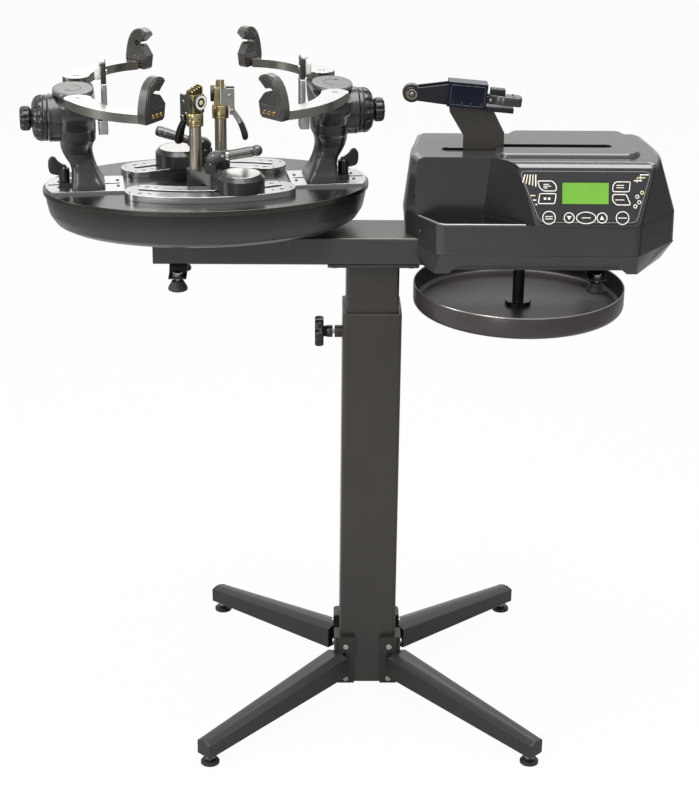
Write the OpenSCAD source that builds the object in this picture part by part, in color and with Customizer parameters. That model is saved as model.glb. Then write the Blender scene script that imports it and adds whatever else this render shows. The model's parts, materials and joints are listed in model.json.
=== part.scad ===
// Racket stringing machine on a four-legged stand, in millimetres.
// The frame: +X towards the tension unit, +Y to the back, +Z up, floor at z = 0.

/* [Stand] */
// Sideways place of the column's axis, measured from the middle of the whole machine
column_x = 33.3; // [20:0.1:60]
// Outside width of the square outer column
column_w = 90; // [84:1:100]
// Wall of the outer column
column_wall = 2.5; // [2:0.5:3]
// Height of the outer column's lower end above the floor
column_z0 = 24; // [20:1:40]
// Height of the outer column's upper end
column_top = 664; // [600:1:700]
// Distance from the column's axis to each levelling foot
foot_reach = 350; // [300:1:420]
// Width of a leg at its outer end
leg_tip_w = 28; // [24:1:34]
// Width of a leg at the column
leg_root_w = 42; // [36:1:48]
// Height of a leg's top edge at its outer end
leg_tip_top = 43; // [40:1:50]
// Height of a leg's top edge at the column
leg_root_top = 82; // [76:1:90]
// Height of a leg's lower edge at its outer end
leg_tip_z0 = 17; // [14:1:22]
// Height of a leg's lower edge at the column
leg_root_z0 = 43; // [38:1:50]
// Height of the bracket that bolts a leg to the column
bracket_h = 87; // [80:1:100]
// Reach of the bracket along each column face
bracket_reach = 24; // [20:1:30]
// Thickness of the bracket plate
bracket_t = 3; // [2:0.5:5]
// Diameter of a levelling foot's pad
foot_d = 29; // [24:1:36]
// Thickness of a levelling foot's pad
foot_pad_h = 6; // [4:0.5:8]

/* [Height lock] */
// Height of the lock knob's axis
lock_z = 621; // [580:1:640]
// Diameter of the lock knob's head
lock_head_d = 48; // [40:1:60]
// Thickness of the lock knob's head
lock_head_t = 13.5; // [10:0.5:18]
// Length of the threaded boss on the column
lock_boss_l = 12; // [8:1:16]
// Diameter of the boss and of the knob's neck
lock_neck_d = 19; // [16:1:24]
// Diameter of the lock screw
lock_screw_d = 8; // [6:1:10]

/* [Bench] */
// Outside width of the inner column
inner_w = 80; // [74:1:84]
// Wall of the inner column
inner_wall = 2; // [1.5:0.5:3]
// Length of the inner column that stays inside the outer one
inner_hidden = 230; // [180:5:300]
// Height of the beam's underside
beam_z = 743.6; // [700:0.1:800]
// Height of the beam's section
beam_h = 43; // [38:1:50]
// Depth of the beam's section, front to back
beam_w = 96; // [80:1:110]
// Reach of the beam to the left of the column's axis
beam_left = 331; // [300:1:360]
// Reach of the beam to the right of the column's axis
beam_right = 352; // [340:1:370]
// Wall of the beam
beam_wall = 3; // [2:0.5:4]
// Length of the plate between the inner column and the beam
top_plate_l = 138; // [120:1:160]
// Thickness of that plate
top_plate_t = 4; // [3:0.5:6]
// Distance of each table foot strap from the column's axis, to the left
strap_left = 294; // [280:1:310]
// Distance of the other table foot strap from the column's axis, to the right
strap_right = 337; // [328:1:338]
// Diameter of a table foot's rubber bumper at its base
bumper_d = 30; // [24:1:34]
// Height of a table foot's rubber bumper
bumper_h = 15; // [12:1:20]

/* [Tool tray] */
// Distance of the tray's centre from the column's axis
tray_x = 225; // [215:1:240]
// Outside radius of the tray
tray_r = 161.7; // [140:0.1:165]
// Height of the tray's rim above its underside
tray_h = 35; // [25:1:36]
// Height of the rim above the floor
tray_rim_z = 701; // [690:1:701]
// Wall of the tray
tray_wall = 2; // [1.5:0.5:3]
// Radius of the tray's bottom edge
tray_edge_r = 10; // [6:1:14]

/* [Turntable] */
// Distance of the turntable's axis from the column's axis, to the left
table_x = 250; // [240:1:270]
// Angle at which the turntable stands
table_turn = 7.4; // [0:0.1:15]
// Half length of the oval deck
deck_a = 244; // [242:1:260]
// Half width of the oval deck
deck_b = 149; // [140:1:160]
// Height of the deck's top face
deck_z = 857; // [850:1:870]
// Thickness of the deck plate
deck_t = 8; // [6:1:10]
// Depth of the dish below the deck plate
dish_h = 58; // [50:1:58]
// Wall of the dish
dish_wall = 3; // [2:0.5:4]
// Diameter of the spindle that carries the turntable
spindle_d = 50; // [40:1:60]
// Thickness of the tower slide plates
slide_t = 4; // [3:0.5:5]
// Half depth of the tower slide plates
slide_half_w = 40; // [34:1:44]
// Distance from the turntable's axis to the slide plates' inner ends
slide_in = 124; // [122:1:130]
// Width of the slot along each slide plate
slide_slot_w = 6; // [5:0.5:8]
// Thickness of the glide bars
bar_t = 10; // [8:0.5:12]
// Radius of the glide bars' curved slot
bar_slot_r = 270; // [250:1:290]
// Distance of the slot from the turntable's axis at its middle
bar_slot_y = 80; // [76:1:84]
// Width of the curved slot
bar_slot_w = 9; // [8:0.5:11]
// Width of a glide bar inside its slot's centre line
bar_in = 28; // [24:1:30]
// Width of a glide bar outside its slot's centre line
bar_out = 31; // [26:1:33]
// Angle from a glide bar's middle to the centre of its rounded end
bar_end_angle = 20.8; // [20:0.1:21]
// Angle from a glide bar's middle to the end of its slot
slot_end_angle = 23; // [22:0.1:23.5]

/* [Towers] */
// Distance of the left tower from the turntable's axis
left_tower_x = 193.5; // [188:0.5:196]
// Distance of the right tower from the turntable's axis
right_tower_x = 188; // [184:0.5:196]
// Half length of the tower's cap, along the slide
cap_a = 30; // [26:1:34]
// Half width of the tower's cap, across the slide
cap_b = 43; // [40:1:46]
// Height of the cap's top above the slide plate
cap_top = 145.4; // [138:0.1:150]
// Thickness of the cap
cap_t = 7; // [5:0.5:9]
// Height of the knobs' common axis above the slide plate
knob_axis_h = 101.7; // [98:0.1:104]
// Diameter of the knob housing on the tower's outer side
hub_d = 70; // [64:1:72]
// Distance from the tower's axis to the end of the knob housing
hub_end = 37.7; // [34:0.1:40]
// Diameter of the arm knob
arm_knob_d = 67.5; // [60:0.5:70]
// Length of the arm knob
arm_knob_l = 23.4; // [18:0.1:28]
// Diameter of the support knob
support_knob_d = 36; // [30:1:40]
// Length of the support knob
support_knob_l = 17; // [14:0.5:22]
// Number of grooves around the arm knob
knob_grooves = 14; // [10:1:18]
// Distance of each arm's pivot from the tower's middle plane
arm_pivot_y = 72; // [68:1:76]
// Distance of each arm's pivot from the tower's axis, inwards
arm_pivot_in = 6; // [4:0.5:8]
// Radius of the arm's round root
arm_root_r = 20; // [18:0.5:22]
// Thickness of the arm
arm_t = 13; // [10:0.5:14]
// Height of the arm's underside above the slide plate
arm_z = 134; // [130:0.5:136]
// Reach of the arm from its pivot towards the turntable's middle
arm_reach_in = 86; // [80:1:90]
// Reach of the arm from its pivot away from the middle plane
arm_reach_out = 96; // [90:1:104]
// Width of the arm at its tip
arm_tip_w = 24; // [20:0.5:28]
// Height of a hook
hook_h = 62.5; // [58:0.5:66]
// Width of a hook
hook_w = 44; // [40:1:48]
// Thickness of a hook
hook_t = 13; // [10:0.5:14]
// Angle of a hook's plate, which points in towards the racket
hook_turn = 50; // [45:1:55]
// Length of the neck between an arm and its hook
hook_neck = 3; // [2:0.5:5]
// Distance of the head support bar from the tower's axis, inwards
support_in = 41; // [40:0.5:50]
// Height of the head support bar's top above the slide plate
support_top = 188; // [180:1:194]
// Height of the head support bar's lower end above the slide plate
support_z0 = 77; // [72:1:84]
// Diameter of the head support's rod
support_rod_d = 10; // [8:0.5:12]

/* [String clamps] */
// Distance from the clamp's swivel to its post
post_reach = 82; // [78:0.5:86]
// Radius of the clamp base's round end
base_r = 35; // [32:1:38]
// Height of the clamp base's arm above the glide bar
base_h = 18.7; // [16:0.1:22]
// Height of the round end above the arm
pad_rise = 6; // [4:0.5:8]
// Turn of the base lever away from the base's own line
lever_turn = 30; // [24:1:36]
// Width of the clamp base at its post end
base_tail_w = 27; // [24:1:30]
// Diameter of the clamp post
post_d = 17.8; // [16:0.1:20]
// Height of the clamp post above its base
post_h = 65; // [60:1:70]
// Diameter of the collar under the clamp head
collar_d = 25; // [22:0.5:26]
// Height of the collar
collar_h = 19.5; // [14:0.5:22]
// Height of the clamp head above the collar
head_h = 40; // [36:1:46]
// Diameter of the adjusting dial
dial_d = 24; // [20:0.5:26]
// Thickness of the adjusting dial
dial_t = 5; // [4:0.5:7]
// Position of the front clamp along its bar, as an angle
front_clamp_angle = 9.3; // [6:0.1:12]
// Position of the rear clamp along its bar, as an angle
rear_clamp_angle = 7.9; // [4:0.1:10]
// Angle of the front clamp's base on the turntable
front_base_turn = 138.7; // [136:0.1:141]
// Angle of the rear clamp's base on the turntable
rear_base_turn = -42.5; // [-45:0.1:-40]
// Angle of the front clamp's head on the turntable
front_head_turn = -52; // [-60:1:-45]
// Angle of the rear clamp's head on the turntable
rear_head_turn = 174; // [165:1:180]

/* [Tension unit] */
// Left end of the tension unit, from the column's axis
unit_x0 = 45; // [42:1:50]
// Length of the tension unit
unit_l = 409; // [400:1:416]
// Distance of the unit's front face from the middle plane
unit_front = 99; // [94:1:102]
// Distance of the unit's back face from the middle plane
unit_back = 105; // [100:1:107]
// Size of the cut corners in plan, at the left
unit_corner_l = 48; // [42:1:54]
// Size of the cut corners in plan, at the right
unit_corner_r = 65; // [58:1:70]
// Half depth of the flat part of each side face
unit_side = 18; // [14:1:24]
// Height of the unit's lowest edge above the floor
unit_z0 = 748; // [746:1:754]
// Height of the joint between the pan and the cover
unit_joint_z = 776; // [770:1:780]
// Length of the control panel along its lower edge
panel_l = 146; // [140:1:150]
// Distance from the cover's left end to the control panel's middle
panel_at = 266; // [262:1:270]
// Length of the display window
display_l = 68; // [60:1:72]
// Height of the display window
display_h = 31; // [26:1:33]
// Height of the ledge below the control panel
unit_ledge_z = 822; // [815:1:830]
// Height of the cover's top
unit_top_z = 911; // [900:1:915]
// Height of the raised deck on the cover's top
raised_h = 6; // [4:1:8]
// Wall of the cover and the pan
shell_t = 3; // [2:0.5:3.5]
// Width of the slot in the cover's top
slot_w = 18; // [14:1:22]
// Left end of that slot, from the unit's left end
slot_start = 56; // [52:1:60]
// Length of that slot
slot_l = 254; // [240:1:260]
// Place of the tension head's blade, from the unit's left end
blade_start = 87; // [84:1:92]
// Width of the blade along the slot
blade_l = 61; // [55:1:66]
// Thickness of the blade
blade_t = 6; // [4:0.5:8]
// Height of the head casing's lower edge above the floor
head_z0 = 973.5; // [965:1:985]
// Length of the head casing
head_l = 58; // [50:1:64]
// Height of the head casing
head_case_h = 37; // [32:1:42]
// Depth of the head casing
head_case_w = 28; // [26:1:34]
// Upward tilt of the head casing towards its nose
head_tilt = 5; // [0:0.5:8]
// Diameter of the nose roller
roller_d = 27; // [22:0.5:32]
// Width of the nose roller
roller_w = 12; // [8:0.5:16]
// Diameter of the lead screw
screw_d = 14; // [10:1:18]
// Height of the lead screw's axis above the floor
screw_z = 850; // [840:1:860]

/* [Fits] */
// Radial clearance of a turning or sliding fit
run_gap = 0.05; // [0.02:0.01:0.1]
// Clearance between faces that pass each other
face_gap = 0.3; // [0.2:0.05:0.5]

/* [Hidden] */
$fn = 48;
BLACK = [0.12, 0.12, 0.12];
SATIN = [0.2, 0.2, 0.19];
STEEL = [0.72, 0.72, 0.7];
BRASS = [0.66, 0.6, 0.42];
// Values that follow from the sizes above
beam_top = beam_z + beam_h;
deck_z0 = deck_z - deck_t;
dish_z0 = deck_z0 - dish_h;
slide_top = deck_z + slide_t;
bar_top = deck_z + bar_t;
bar_centre_y = bar_slot_r - bar_slot_y;
left_sign = -1;
right_sign = 1;
lock_face = column_w / 2 + lock_boss_l;
unit_x1 = unit_x0 + unit_l;
blade_x = unit_x0 + blade_start;
base_top = bar_top + face_gap + base_h;
post_top = base_top + post_h;
collar_top = post_top + collar_h;
head_top = collar_top + head_h;

// Moves a shape from the column's axis to its place in the whole machine
module at_column() {
    translate([column_x, 0, 0])
        children();
}

// Moves a shape from the turntable's own frame to its place
module on_table() {
    at_column()
        translate([-table_x, 0, 0])
            rotate([0, 0, table_turn])
                children();
}

// Moves a shape from a tower's frame, whose +X points outwards, to its place
module on_tower(side) {
    reach = side < 0 ? left_tower_x : right_tower_x;
    on_table()
        rotate([0, 0, side < 0 ? 180 : 0])
            translate([reach, 0, slide_top])
                children();
}

// A rectangle with round corners, centred
module round_rect(w, d, r) {
    square([w - 2 * r, d], center = true);
    square([w, d - 2 * r], center = true);
    for (x = [-1, 1])
        for (y = [-1, 1])
            translate([x * (w / 2 - r), y * (d / 2 - r)])
                circle(r);
}

// A square tube with round corners
module tube(w, wall, r, h) {
    linear_extrude(h)
        difference() {
            round_rect(w, w, r);
            round_rect(w - 2 * wall, w - 2 * wall, r - wall / 2);
        }
}

// Points of an ellipse
function oval(a, b, n) = [for (i = [0 : n - 1]) [a * cos(360 * i / n), b * sin(360 * i / n)]];

// Points of a circular arc
function arc(c, r, a0, a1, n) =
    [for (i = [0 : n]) let (a = a0 + (a1 - a0) * i / n) [c[0] + r * cos(a), c[1] + r * sin(a)]];

// A cylinder along +X
module rod_x(x0, x1, r) {
    translate([x0, 0, 0])
        rotate([0, 90, 0])
            cylinder(h = x1 - x0, r = r);
}

// The cross-section of a leg: upright sides and a top that rises to a low ridge
module leg_slice(reach, w, z0, z1) {
    ridge = w * 0.12;
    translate([reach, 0, 0])
        rotate([90, 0, 90])
            linear_extrude(0.1)
                polygon([[-w / 2, z0], [w / 2, z0], [w / 2, z1 - ridge], [w * 0.15, z1],
                    [-w * 0.15, z1], [-w / 2, z1 - ridge]]);
}

leg_angles = [45, 135, 225, 315];
leg_end = foot_reach + 11;
leg_start = column_w / 2 * sqrt(2) + 4;
screw_zs = [column_z0 + 8, column_z0 + 70];
bolt_face = column_w / 2 + bracket_t;
shoe_t = 9;
shoe_z0 = column_z0 + 57;
shoe_h = bracket_h - 57;

module outer_column() {
    color(SATIN)
        at_column()
            difference() {
                union() {
                    translate([0, 0, column_z0])
                        tube(column_w, column_wall, 6, column_top - column_z0);
                    translate([0, 0, lock_z])
                        rod_x(-lock_face, -column_w / 2 + column_wall / 2, lock_neck_d / 2);
                }
                translate([0, 0, lock_z])
                    rod_x(-lock_face - 1, -column_w / 2 + column_wall + 1,
                        lock_screw_d / 2 + run_gap);
            }
}

sleeve_out = column_w - 2 * column_wall;

// The plastic guide that lines the outer column's upper end
module column_sleeve() {
    color(BLACK)
        at_column()
            difference() {
                translate([0, 0, lock_z + 14])
                    linear_extrude(column_top - lock_z - 14)
                        difference() {
                            round_rect(sleeve_out, sleeve_out, 6 - column_wall / 2);
                            round_rect(inner_w + 2 * face_gap, inner_w + 2 * face_gap, 5 + face_gap);
                        }
                translate([-column_w, 0, lock_z])
                    rotate([0, 90, 0])
                        cylinder(h = column_w, r = lock_screw_d);
            }
}

// One leg with the bracket that wraps the column's corner, along +X
module leg() {
    hull() {
        leg_slice(leg_start, leg_root_w, leg_root_z0, leg_root_top);
        leg_slice(leg_end, leg_tip_w, leg_tip_z0, leg_tip_top);
    }
    rotate([0, 0, -45])
        difference() {
            union() {
                translate([column_w / 2 - bracket_reach, column_w / 2 - bracket_reach, column_z0 - 1])
                    cube([bracket_reach + bracket_t, bracket_reach + bracket_t, bracket_h]);
                translate([column_w / 2 - bracket_reach, column_w / 2 - bracket_reach, shoe_z0])
                    linear_extrude(shoe_h)
                        union() {
                            square([bracket_reach + shoe_t, bracket_reach + shoe_t - 8]);
                            square([bracket_reach + shoe_t - 8, bracket_reach + shoe_t]);
                            translate([bracket_reach + shoe_t - 8, bracket_reach + shoe_t - 8])
                                circle(8);
                        }
            }
            linear_extrude(column_top)
                round_rect(column_w, column_w, 6);
        }
}

module legs() {
    color(SATIN)
        at_column()
            for (a = leg_angles)
                rotate([0, 0, a])
                    leg();
}

module leg_end_feet() {
    color(BLACK)
        at_column()
            for (a = leg_angles)
                rotate([0, 0, a]) {
                    hull() {
                        leg_slice(leg_end + 0.1, leg_tip_w + 1, leg_tip_z0 - 0.5, leg_tip_top + 0.5);
                        leg_slice(leg_end + 2.5, leg_tip_w - 1, leg_tip_z0 + 0.5, leg_tip_top - 0.5);
                    }
                    translate([foot_reach, 0, 0]) {
                        cylinder(h = foot_pad_h * 0.6, r = foot_d / 2);
                        cylinder(h = foot_pad_h, r = foot_d / 2 - 2);
                        cylinder(h = leg_tip_z0 + 0.2, r = 6);
                    }
                }
}

module leg_screws() {
    color(STEEL)
        at_column()
            for (a = [0, 90, 180, 270])
                rotate([0, 0, a])
                    for (y = [-1, 1]) {
                        translate([0, y * (column_w / 2 - 10), screw_zs[0]])
                            rod_x(bolt_face, bolt_face + 2.5, 4.5);
                        translate([0, y * (column_w / 2 - 10), screw_zs[1]])
                            rod_x(column_w / 2 + shoe_t, column_w / 2 + shoe_t + 2.5, 4.5);
                    }
}

module height_lock_knob() {
    neck_x = -lock_face - 3;
    head_x = neck_x - 14;
    color(BLACK)
        at_column()
            translate([0, 0, lock_z]) {
                rod_x(neck_x - 1, -inner_w / 2 - face_gap, lock_screw_d / 2);
                rod_x(head_x, neck_x, lock_neck_d / 2);
                difference() {
                    rod_x(head_x - lock_head_t, head_x, lock_head_d / 2);
                    for (a = [30 : 60 : 330])
                        rotate([a, 0, 0])
                            translate([0, lock_head_d / 2 + 4, 0])
                                rod_x(head_x - lock_head_t - 1, head_x + 1, 8);
                }
            }
}

bolt_x = top_plate_l / 2 - 11;
bolt_y = beam_w / 2 - 18;

module inner_column() {
    z0 = column_top - inner_hidden;
    z1 = beam_z - top_plate_t;
    color(SATIN)
        at_column() {
            translate([0, 0, z0])
                tube(inner_w, inner_wall, 5, z1 - z0);
            translate([0, 0, z1])
                linear_extrude(top_plate_t)
                    difference() {
                        round_rect(top_plate_l, beam_w, 4);
                        for (x = [-bolt_x, bolt_x])
                            for (y = [-bolt_y, bolt_y])
                                translate([x, y])
                                    circle(4.2);
                    }
        }
}

module beam() {
    length = beam_left + beam_right;
    color(SATIN)
        at_column() {
            translate([-beam_left + 3, 0, beam_z + beam_h / 2])
                rotate([90, 0, 90])
                    linear_extrude(length - 6)
                        difference() {
                            round_rect(beam_w, beam_h, 4);
                            round_rect(beam_w - 2 * beam_wall, beam_h - 2 * beam_wall, 2);
                        }
            for (x = [-beam_left, beam_right - 3])
                translate([x, 0, beam_z + beam_h / 2])
                    rotate([90, 0, 90])
                        linear_extrude(3)
                            round_rect(beam_w, beam_h, 4);
        }
}

module bench_bolts() {
    color(STEEL)
        at_column()
            for (x = [-bolt_x, bolt_x])
                for (y = [-bolt_y, bolt_y])
                    translate([x, y, beam_z - top_plate_t - 5]) {
                        cylinder(h = 5, r = 6, $fn = 6);
                        cylinder(h = top_plate_t + 5, r = 4);
                    }
}

// A strap that crosses under the beam and holds a table foot at each end
module foot_strap() {
    t = 3;
    drop = 19;
    rotate([90, 0, 90])
        translate([0, 0, -13.5])
            linear_extrude(27)
                for (s = [0, 1])
                    mirror([s, 0])
                        polygon([[0, 0], [0, -t], [25, -t], [35, -drop], [60, -drop],
                            [60, t - drop], [37, t - drop], [27, 0]]);
}

bumper_y = 48;
strap_drop = 19;

module table_feet() {
    color(BLACK)
        at_column()
            for (x = [-strap_left, strap_right])
                translate([x, 0, beam_z]) {
                    foot_strap();
                    for (y = [-bumper_y, bumper_y])
                        translate([0, y, -strap_drop]) {
                            translate([0, 0, -7])
                                cylinder(h = 10, r = 4);
                            translate([0, 0, 3])
                                cylinder(h = 5, r = 7, $fn = 6);
                            translate([0, 0, -6 - bumper_h])
                                rotate_extrude()
                                    polygon([[0, 0], [bumper_d / 2 - 1, 0], [bumper_d / 2, 1.5],
                                        [bumper_d / 2 - 0.5, 4], [bumper_d / 3, bumper_h - 1],
                                        [bumper_d / 3 - 1, bumper_h], [0, bumper_h]]);
                        }
                }
}

// The round tray that hangs on a post below the beam
module tool_tray() {
    z0 = tray_rim_z - tray_h;
    e = tray_edge_r;
    color(BLACK)
        at_column()
            translate([tray_x, 0, 0]) {
                translate([0, 0, z0])
                    rotate_extrude($fn = 120)
                        difference() {
                            union() {
                                square([tray_r - e, tray_h]);
                                translate([0, e])
                                    square([tray_r, tray_h - e]);
                                translate([tray_r - e, e])
                                    circle(e);
                            }
                            translate([0, tray_wall])
                                square([tray_r - e, tray_h]);
                            translate([0, e])
                                square([tray_r - tray_wall, tray_h]);
                            translate([tray_r - e, e])
                                circle(e - tray_wall);
                            translate([-30, -1])
                                square([30, tray_h + 2]);
                        }
                translate([0, 0, z0 - 4])
                    cylinder(h = beam_z - z0 + 4, r = 9);
                translate([0, 0, z0 - 8])
                    cylinder(h = 8, r = 7, $fn = 6);
                translate([0, 0, z0 + tray_wall])
                    cylinder(h = 6, r = 20);
            }
}

module turntable_spindle() {
    color(STEEL)
        at_column()
            translate([-table_x, 0, beam_top]) {
                cylinder(h = dish_z0 - beam_top - face_gap, r = spindle_d / 2 + 16);
                cylinder(h = deck_z0 - beam_top - 1, r = spindle_d / 2);
            }
}

// Widths of the dish at rising heights, as shares of the deck's own
dish_shape = [[0, 0.66], [0.02, 0.76], [0.1, 0.86], [0.24, 0.925], [0.5, 0.965], [0.8, 0.98], [1, 0.985]];

// A closed bowl with the dish's outline, shrunk by inset
module dish_solid(inset, low, high) {
    hull()
        for (s = dish_shape)
            translate([0, 0, dish_z0 + low + s[0] * (dish_h - low + high) - (s[0] == 1 ? 0.1 : 0)])
                linear_extrude(0.1)
                    polygon(oval(deck_a * s[1] - inset, deck_b * s[1] - inset, 72));
}

module turntable_dish() {
    color(BLACK)
        on_table()
            difference() {
                union() {
                    difference() {
                        dish_solid(0, 0, 0);
                        dish_solid(dish_wall, dish_wall, 1);
                    }
                    translate([0, 0, dish_z0 + 1])
                        cylinder(h = dish_h - 1.5, r = spindle_d / 2 + 10);
                }
                translate([0, 0, dish_z0 - 1])
                    cylinder(h = dish_h + 2, r = spindle_d / 2 + run_gap);
            }
}

// A band of half width h along an arc of radius r from -a to a about straight down, with round ends
function bent_band(r, h, a) = concat(
    arc([0, 0], r + h, 270 - a, 270 + a, 30),
    arc([r * cos(270 + a), r * sin(270 + a)], h, 282 + a, 438 + a, 13),
    arc([0, 0], r - h, 270 + a, 270 - a, 30),
    arc([r * cos(270 - a), r * sin(270 - a)], h, 102 - a, 258 - a, 13));

// The curved slot in a glide bar, drawn for the front bar and widened by extra
module arc_slot(extra) {
    a = slot_end_angle - asin(bar_slot_w / 2 / bar_slot_r);
    translate([0, bar_centre_y])
        polygon(bent_band(bar_slot_r, bar_slot_w / 2 + extra, a));
}

// The outline of the front glide bar, grown by extra
module bar_outline(extra) {
    mid_r = bar_slot_r + (bar_out - bar_in) / 2;
    translate([0, bar_centre_y])
        polygon(bent_band(mid_r, (bar_out + bar_in) / 2 + extra, bar_end_angle));
}

// The straight slot along a tower slide, for the +X side
module slide_slot(w, from, to) {
    translate([from, -w / 2])
        square([to - from, w]);
    translate([from, 0])
        circle(w / 2);
    translate([to, 0])
        circle(w / 2);
}

slide_out = deck_a - 4;
slot_from = slide_in + 9;
slot_to = slide_out - 7;

module deck_plate() {
    color(BLACK)
        on_table()
            translate([0, 0, deck_z0])
                linear_extrude(deck_t)
                    difference() {
                        polygon(oval(deck_a, deck_b, 80));
                        for (t = [0, 180])
                            rotate(t) {
                                slide_slot(slide_slot_w + 4, slot_from, slot_to);
                                arc_slot(4);
                            }
                    }
}

module tower_slides() {
    color(STEEL)
        on_table()
            translate([0, 0, deck_z])
                linear_extrude(slide_t)
                    for (t = [0, 180])
                        rotate(t)
                            difference() {
                                intersection() {
                                    polygon(oval(slide_out, deck_b - 4, 96));
                                    translate([slide_in, -slide_half_w])
                                        square([deck_a, 2 * slide_half_w]);
                                }
                                slide_slot(slide_slot_w, slot_from, slot_to);
                                bar_outline(1);
                                mirror([0, 1])
                                    bar_outline(1);
                            }
}

// The places of the five screws in the front glide bar
module at_bar_screws() {
    for (a = [-bar_end_angle - 0.5, bar_end_angle + 0.5])
        for (dr = [-17, 17])
            translate([0, bar_centre_y])
                rotate(a)
                    translate([0, -bar_slot_r + dr])
                        children();
    translate([0, bar_centre_y - bar_slot_r - bar_out + 8])
        children();
}

module glide_bars() {
    color(STEEL)
        on_table()
            translate([0, 0, deck_z])
                linear_extrude(bar_t)
                    for (t = [0, 180])
                        rotate(t)
                            difference() {
                                bar_outline(0);
                                arc_slot(0);
                                at_bar_screws()
                                    circle(3 + run_gap);
                            }
}

screw_head_h = 1.2;

module deck_screws() {
    color(STEEL)
        on_table()
            for (t = [0, 180])
                rotate([0, 0, t]) {
                    translate([0, 0, deck_z])
                        linear_extrude(bar_t + 0.15)
                            at_bar_screws()
                                circle(3);
                    for (x = [slide_in + 9, slide_out - 20])
                        for (y = [-15, 15])
                            translate([x, y, slide_top])
                                cylinder(h = screw_head_h, r = 2.5);
                }
}

neck_half = 24;
yoke_half = arm_pivot_y + 14;
yoke_z = arm_z - 24;

// The tower's side view, from a broad foot through a waist to the head
function tower_front() = concat(
    [[-42, 0.3], [8, 0.3], [7, 14], [6, 24]],
    arc([28, 24], 22, 180, 118, 6),
    [[22, 70], [22, arm_z - face_gap], [-31, arm_z - face_gap], [-31, 74], [-29, 70]],
    arc([-44, 58], 22, 30, -38, 8),
    [[-33, 20]]);

// The tower seen along the slide: a foot, a waist and a wide yoke
function tower_side() = concat(
    [[0, 0.3], [38, 0.3], [37, 6], [30, 18], [26, 30], [24, 42], [25, 52]],
    [[34, 70], [44, 90], [yoke_half - 10, yoke_z], [yoke_half, yoke_z + 8],
        [yoke_half, arm_z - face_gap], [0, arm_z - face_gap]]);

module tower_body() {
    intersection() {
        rotate([90, 0, 0])
            translate([0, 0, -100])
                linear_extrude(200)
                    polygon(tower_front());
        rotate([90, 0, 90])
            translate([0, 0, -60])
                linear_extrude(120)
                    union() {
                        polygon(tower_side());
                        mirror([1, 0])
                            polygon(tower_side());
                    }
    }
}

hub_z = knob_axis_h;
rod_hole = hub_end - 12;
spindle_r = 7;
cap_z = cap_top - cap_t;

// One tower with its cap, knob housing, arm pins and slide key
module tower(side) {
    color(BLACK)
        on_tower(side) {
            difference() {
                union() {
                    tower_body();
                    translate([0, 0, hub_z])
                        rod_x(10, hub_end, hub_d / 2);
                    translate([0, 0, arm_z - 3])
                        linear_extrude(cap_z - arm_z + 3)
                            polygon(oval(cap_a - 5, cap_b - 13, 48));
                    for (y = [-arm_pivot_y, arm_pivot_y])
                        translate([-arm_pivot_in, y, arm_z - 3])
                            cylinder(h = arm_t + 2, r = 5);
                    translate([0, 0, hub_z])
                        rod_x(hub_end - 1, hub_end + arm_knob_l - 3, spindle_r);
                    translate([-30, -slide_slot_w / 2 + run_gap, -slide_t - 3])
                        cube([36, slide_slot_w - 2 * run_gap, slide_t + 6]);
                    translate([8, -12, 0.3])
                        cube([18, 24, 5]);
                    translate([lever_x, 0, 1])
                        cylinder(h = 26, r = 4);
                }
                translate([0, 0, hub_z])
                    rod_x(-60, rod_hole, support_rod_d / 2 + run_gap);
                translate([0, 0, hub_z])
                    rod_x(rod_hole + 4, hub_end + arm_knob_l, 3 + run_gap);
            }
            translate([0, 0, cap_z])
                linear_extrude(cap_t)
                    polygon(oval(cap_a, cap_b, 72));
        }
}

lever_x = 18;

// The thumb lever that locks a tower on its slide
module lock_lever(side) {
    color(BLACK)
        on_tower(side)
            translate([lever_x, 0, 0])
                difference() {
                    union() {
                        translate([0, 0, 5.6])
                            cylinder(h = 20, r = 8);
                        translate([0, 4, 0])
                            rotate([90, 0, 0])
                                linear_extrude(8)
                                    polygon([[0, 13], [21, 18.5], [23, 30], [22, 40], [18, 43.5],
                                        [13, 43], [8, 37], [4, 32.5], [0, 30]]);
                    }
                    translate([0, 0, -1])
                        cylinder(h = 50, r = 4 + run_gap);
                }
}

module arm_knob(side) {
    x0 = hub_end + face_gap;
    x1 = hub_end + arm_knob_l;
    r = arm_knob_d / 2;
    color(BLACK)
        on_tower(side)
            translate([0, 0, hub_z])
                difference() {
                    translate([x0, 0, 0])
                        rotate([0, 90, 0])
                            rotate_extrude($fn = 72)
                                polygon([[0, 0], [r - 2, 0], [r, 2], [r, x1 - x0 - 9],
                                    [r - 3, x1 - x0 - 3], [r - 9, x1 - x0], [0, x1 - x0]]);
                    rod_x(x0 - 1, x1 + 1, spindle_r + run_gap);
                    for (i = [0 : knob_grooves - 1])
                        rotate([i * 360 / knob_grooves, 0, 0])
                            translate([0, r + 2.2, 0])
                                rod_x(x0 + 5, x1 + 1, 4.2);
                }
}

module support_knob(side) {
    x0 = hub_end + arm_knob_l + face_gap;
    x1 = x0 + support_knob_l;
    r = support_knob_d / 2;
    color(BLACK)
        on_tower(side)
            translate([0, 0, hub_z])
                difference() {
                    union() {
                        translate([x0, 0, 0])
                            rotate([0, 90, 0])
                                rotate_extrude()
                                    polygon([[0, 0], [r - 1, 0], [r, 1], [r, support_knob_l - 2],
                                        [r - 2, support_knob_l], [0, support_knob_l]]);
                        rod_x(hub_end - 4, x0 + 1, 3);
                    }
                    for (i = [0 : 9])
                        rotate([i * 36, 0, 0])
                            translate([0, r + 1.6, 0])
                                rod_x(x0 + 3, x1 + 1, 3);
                }
}

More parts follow.
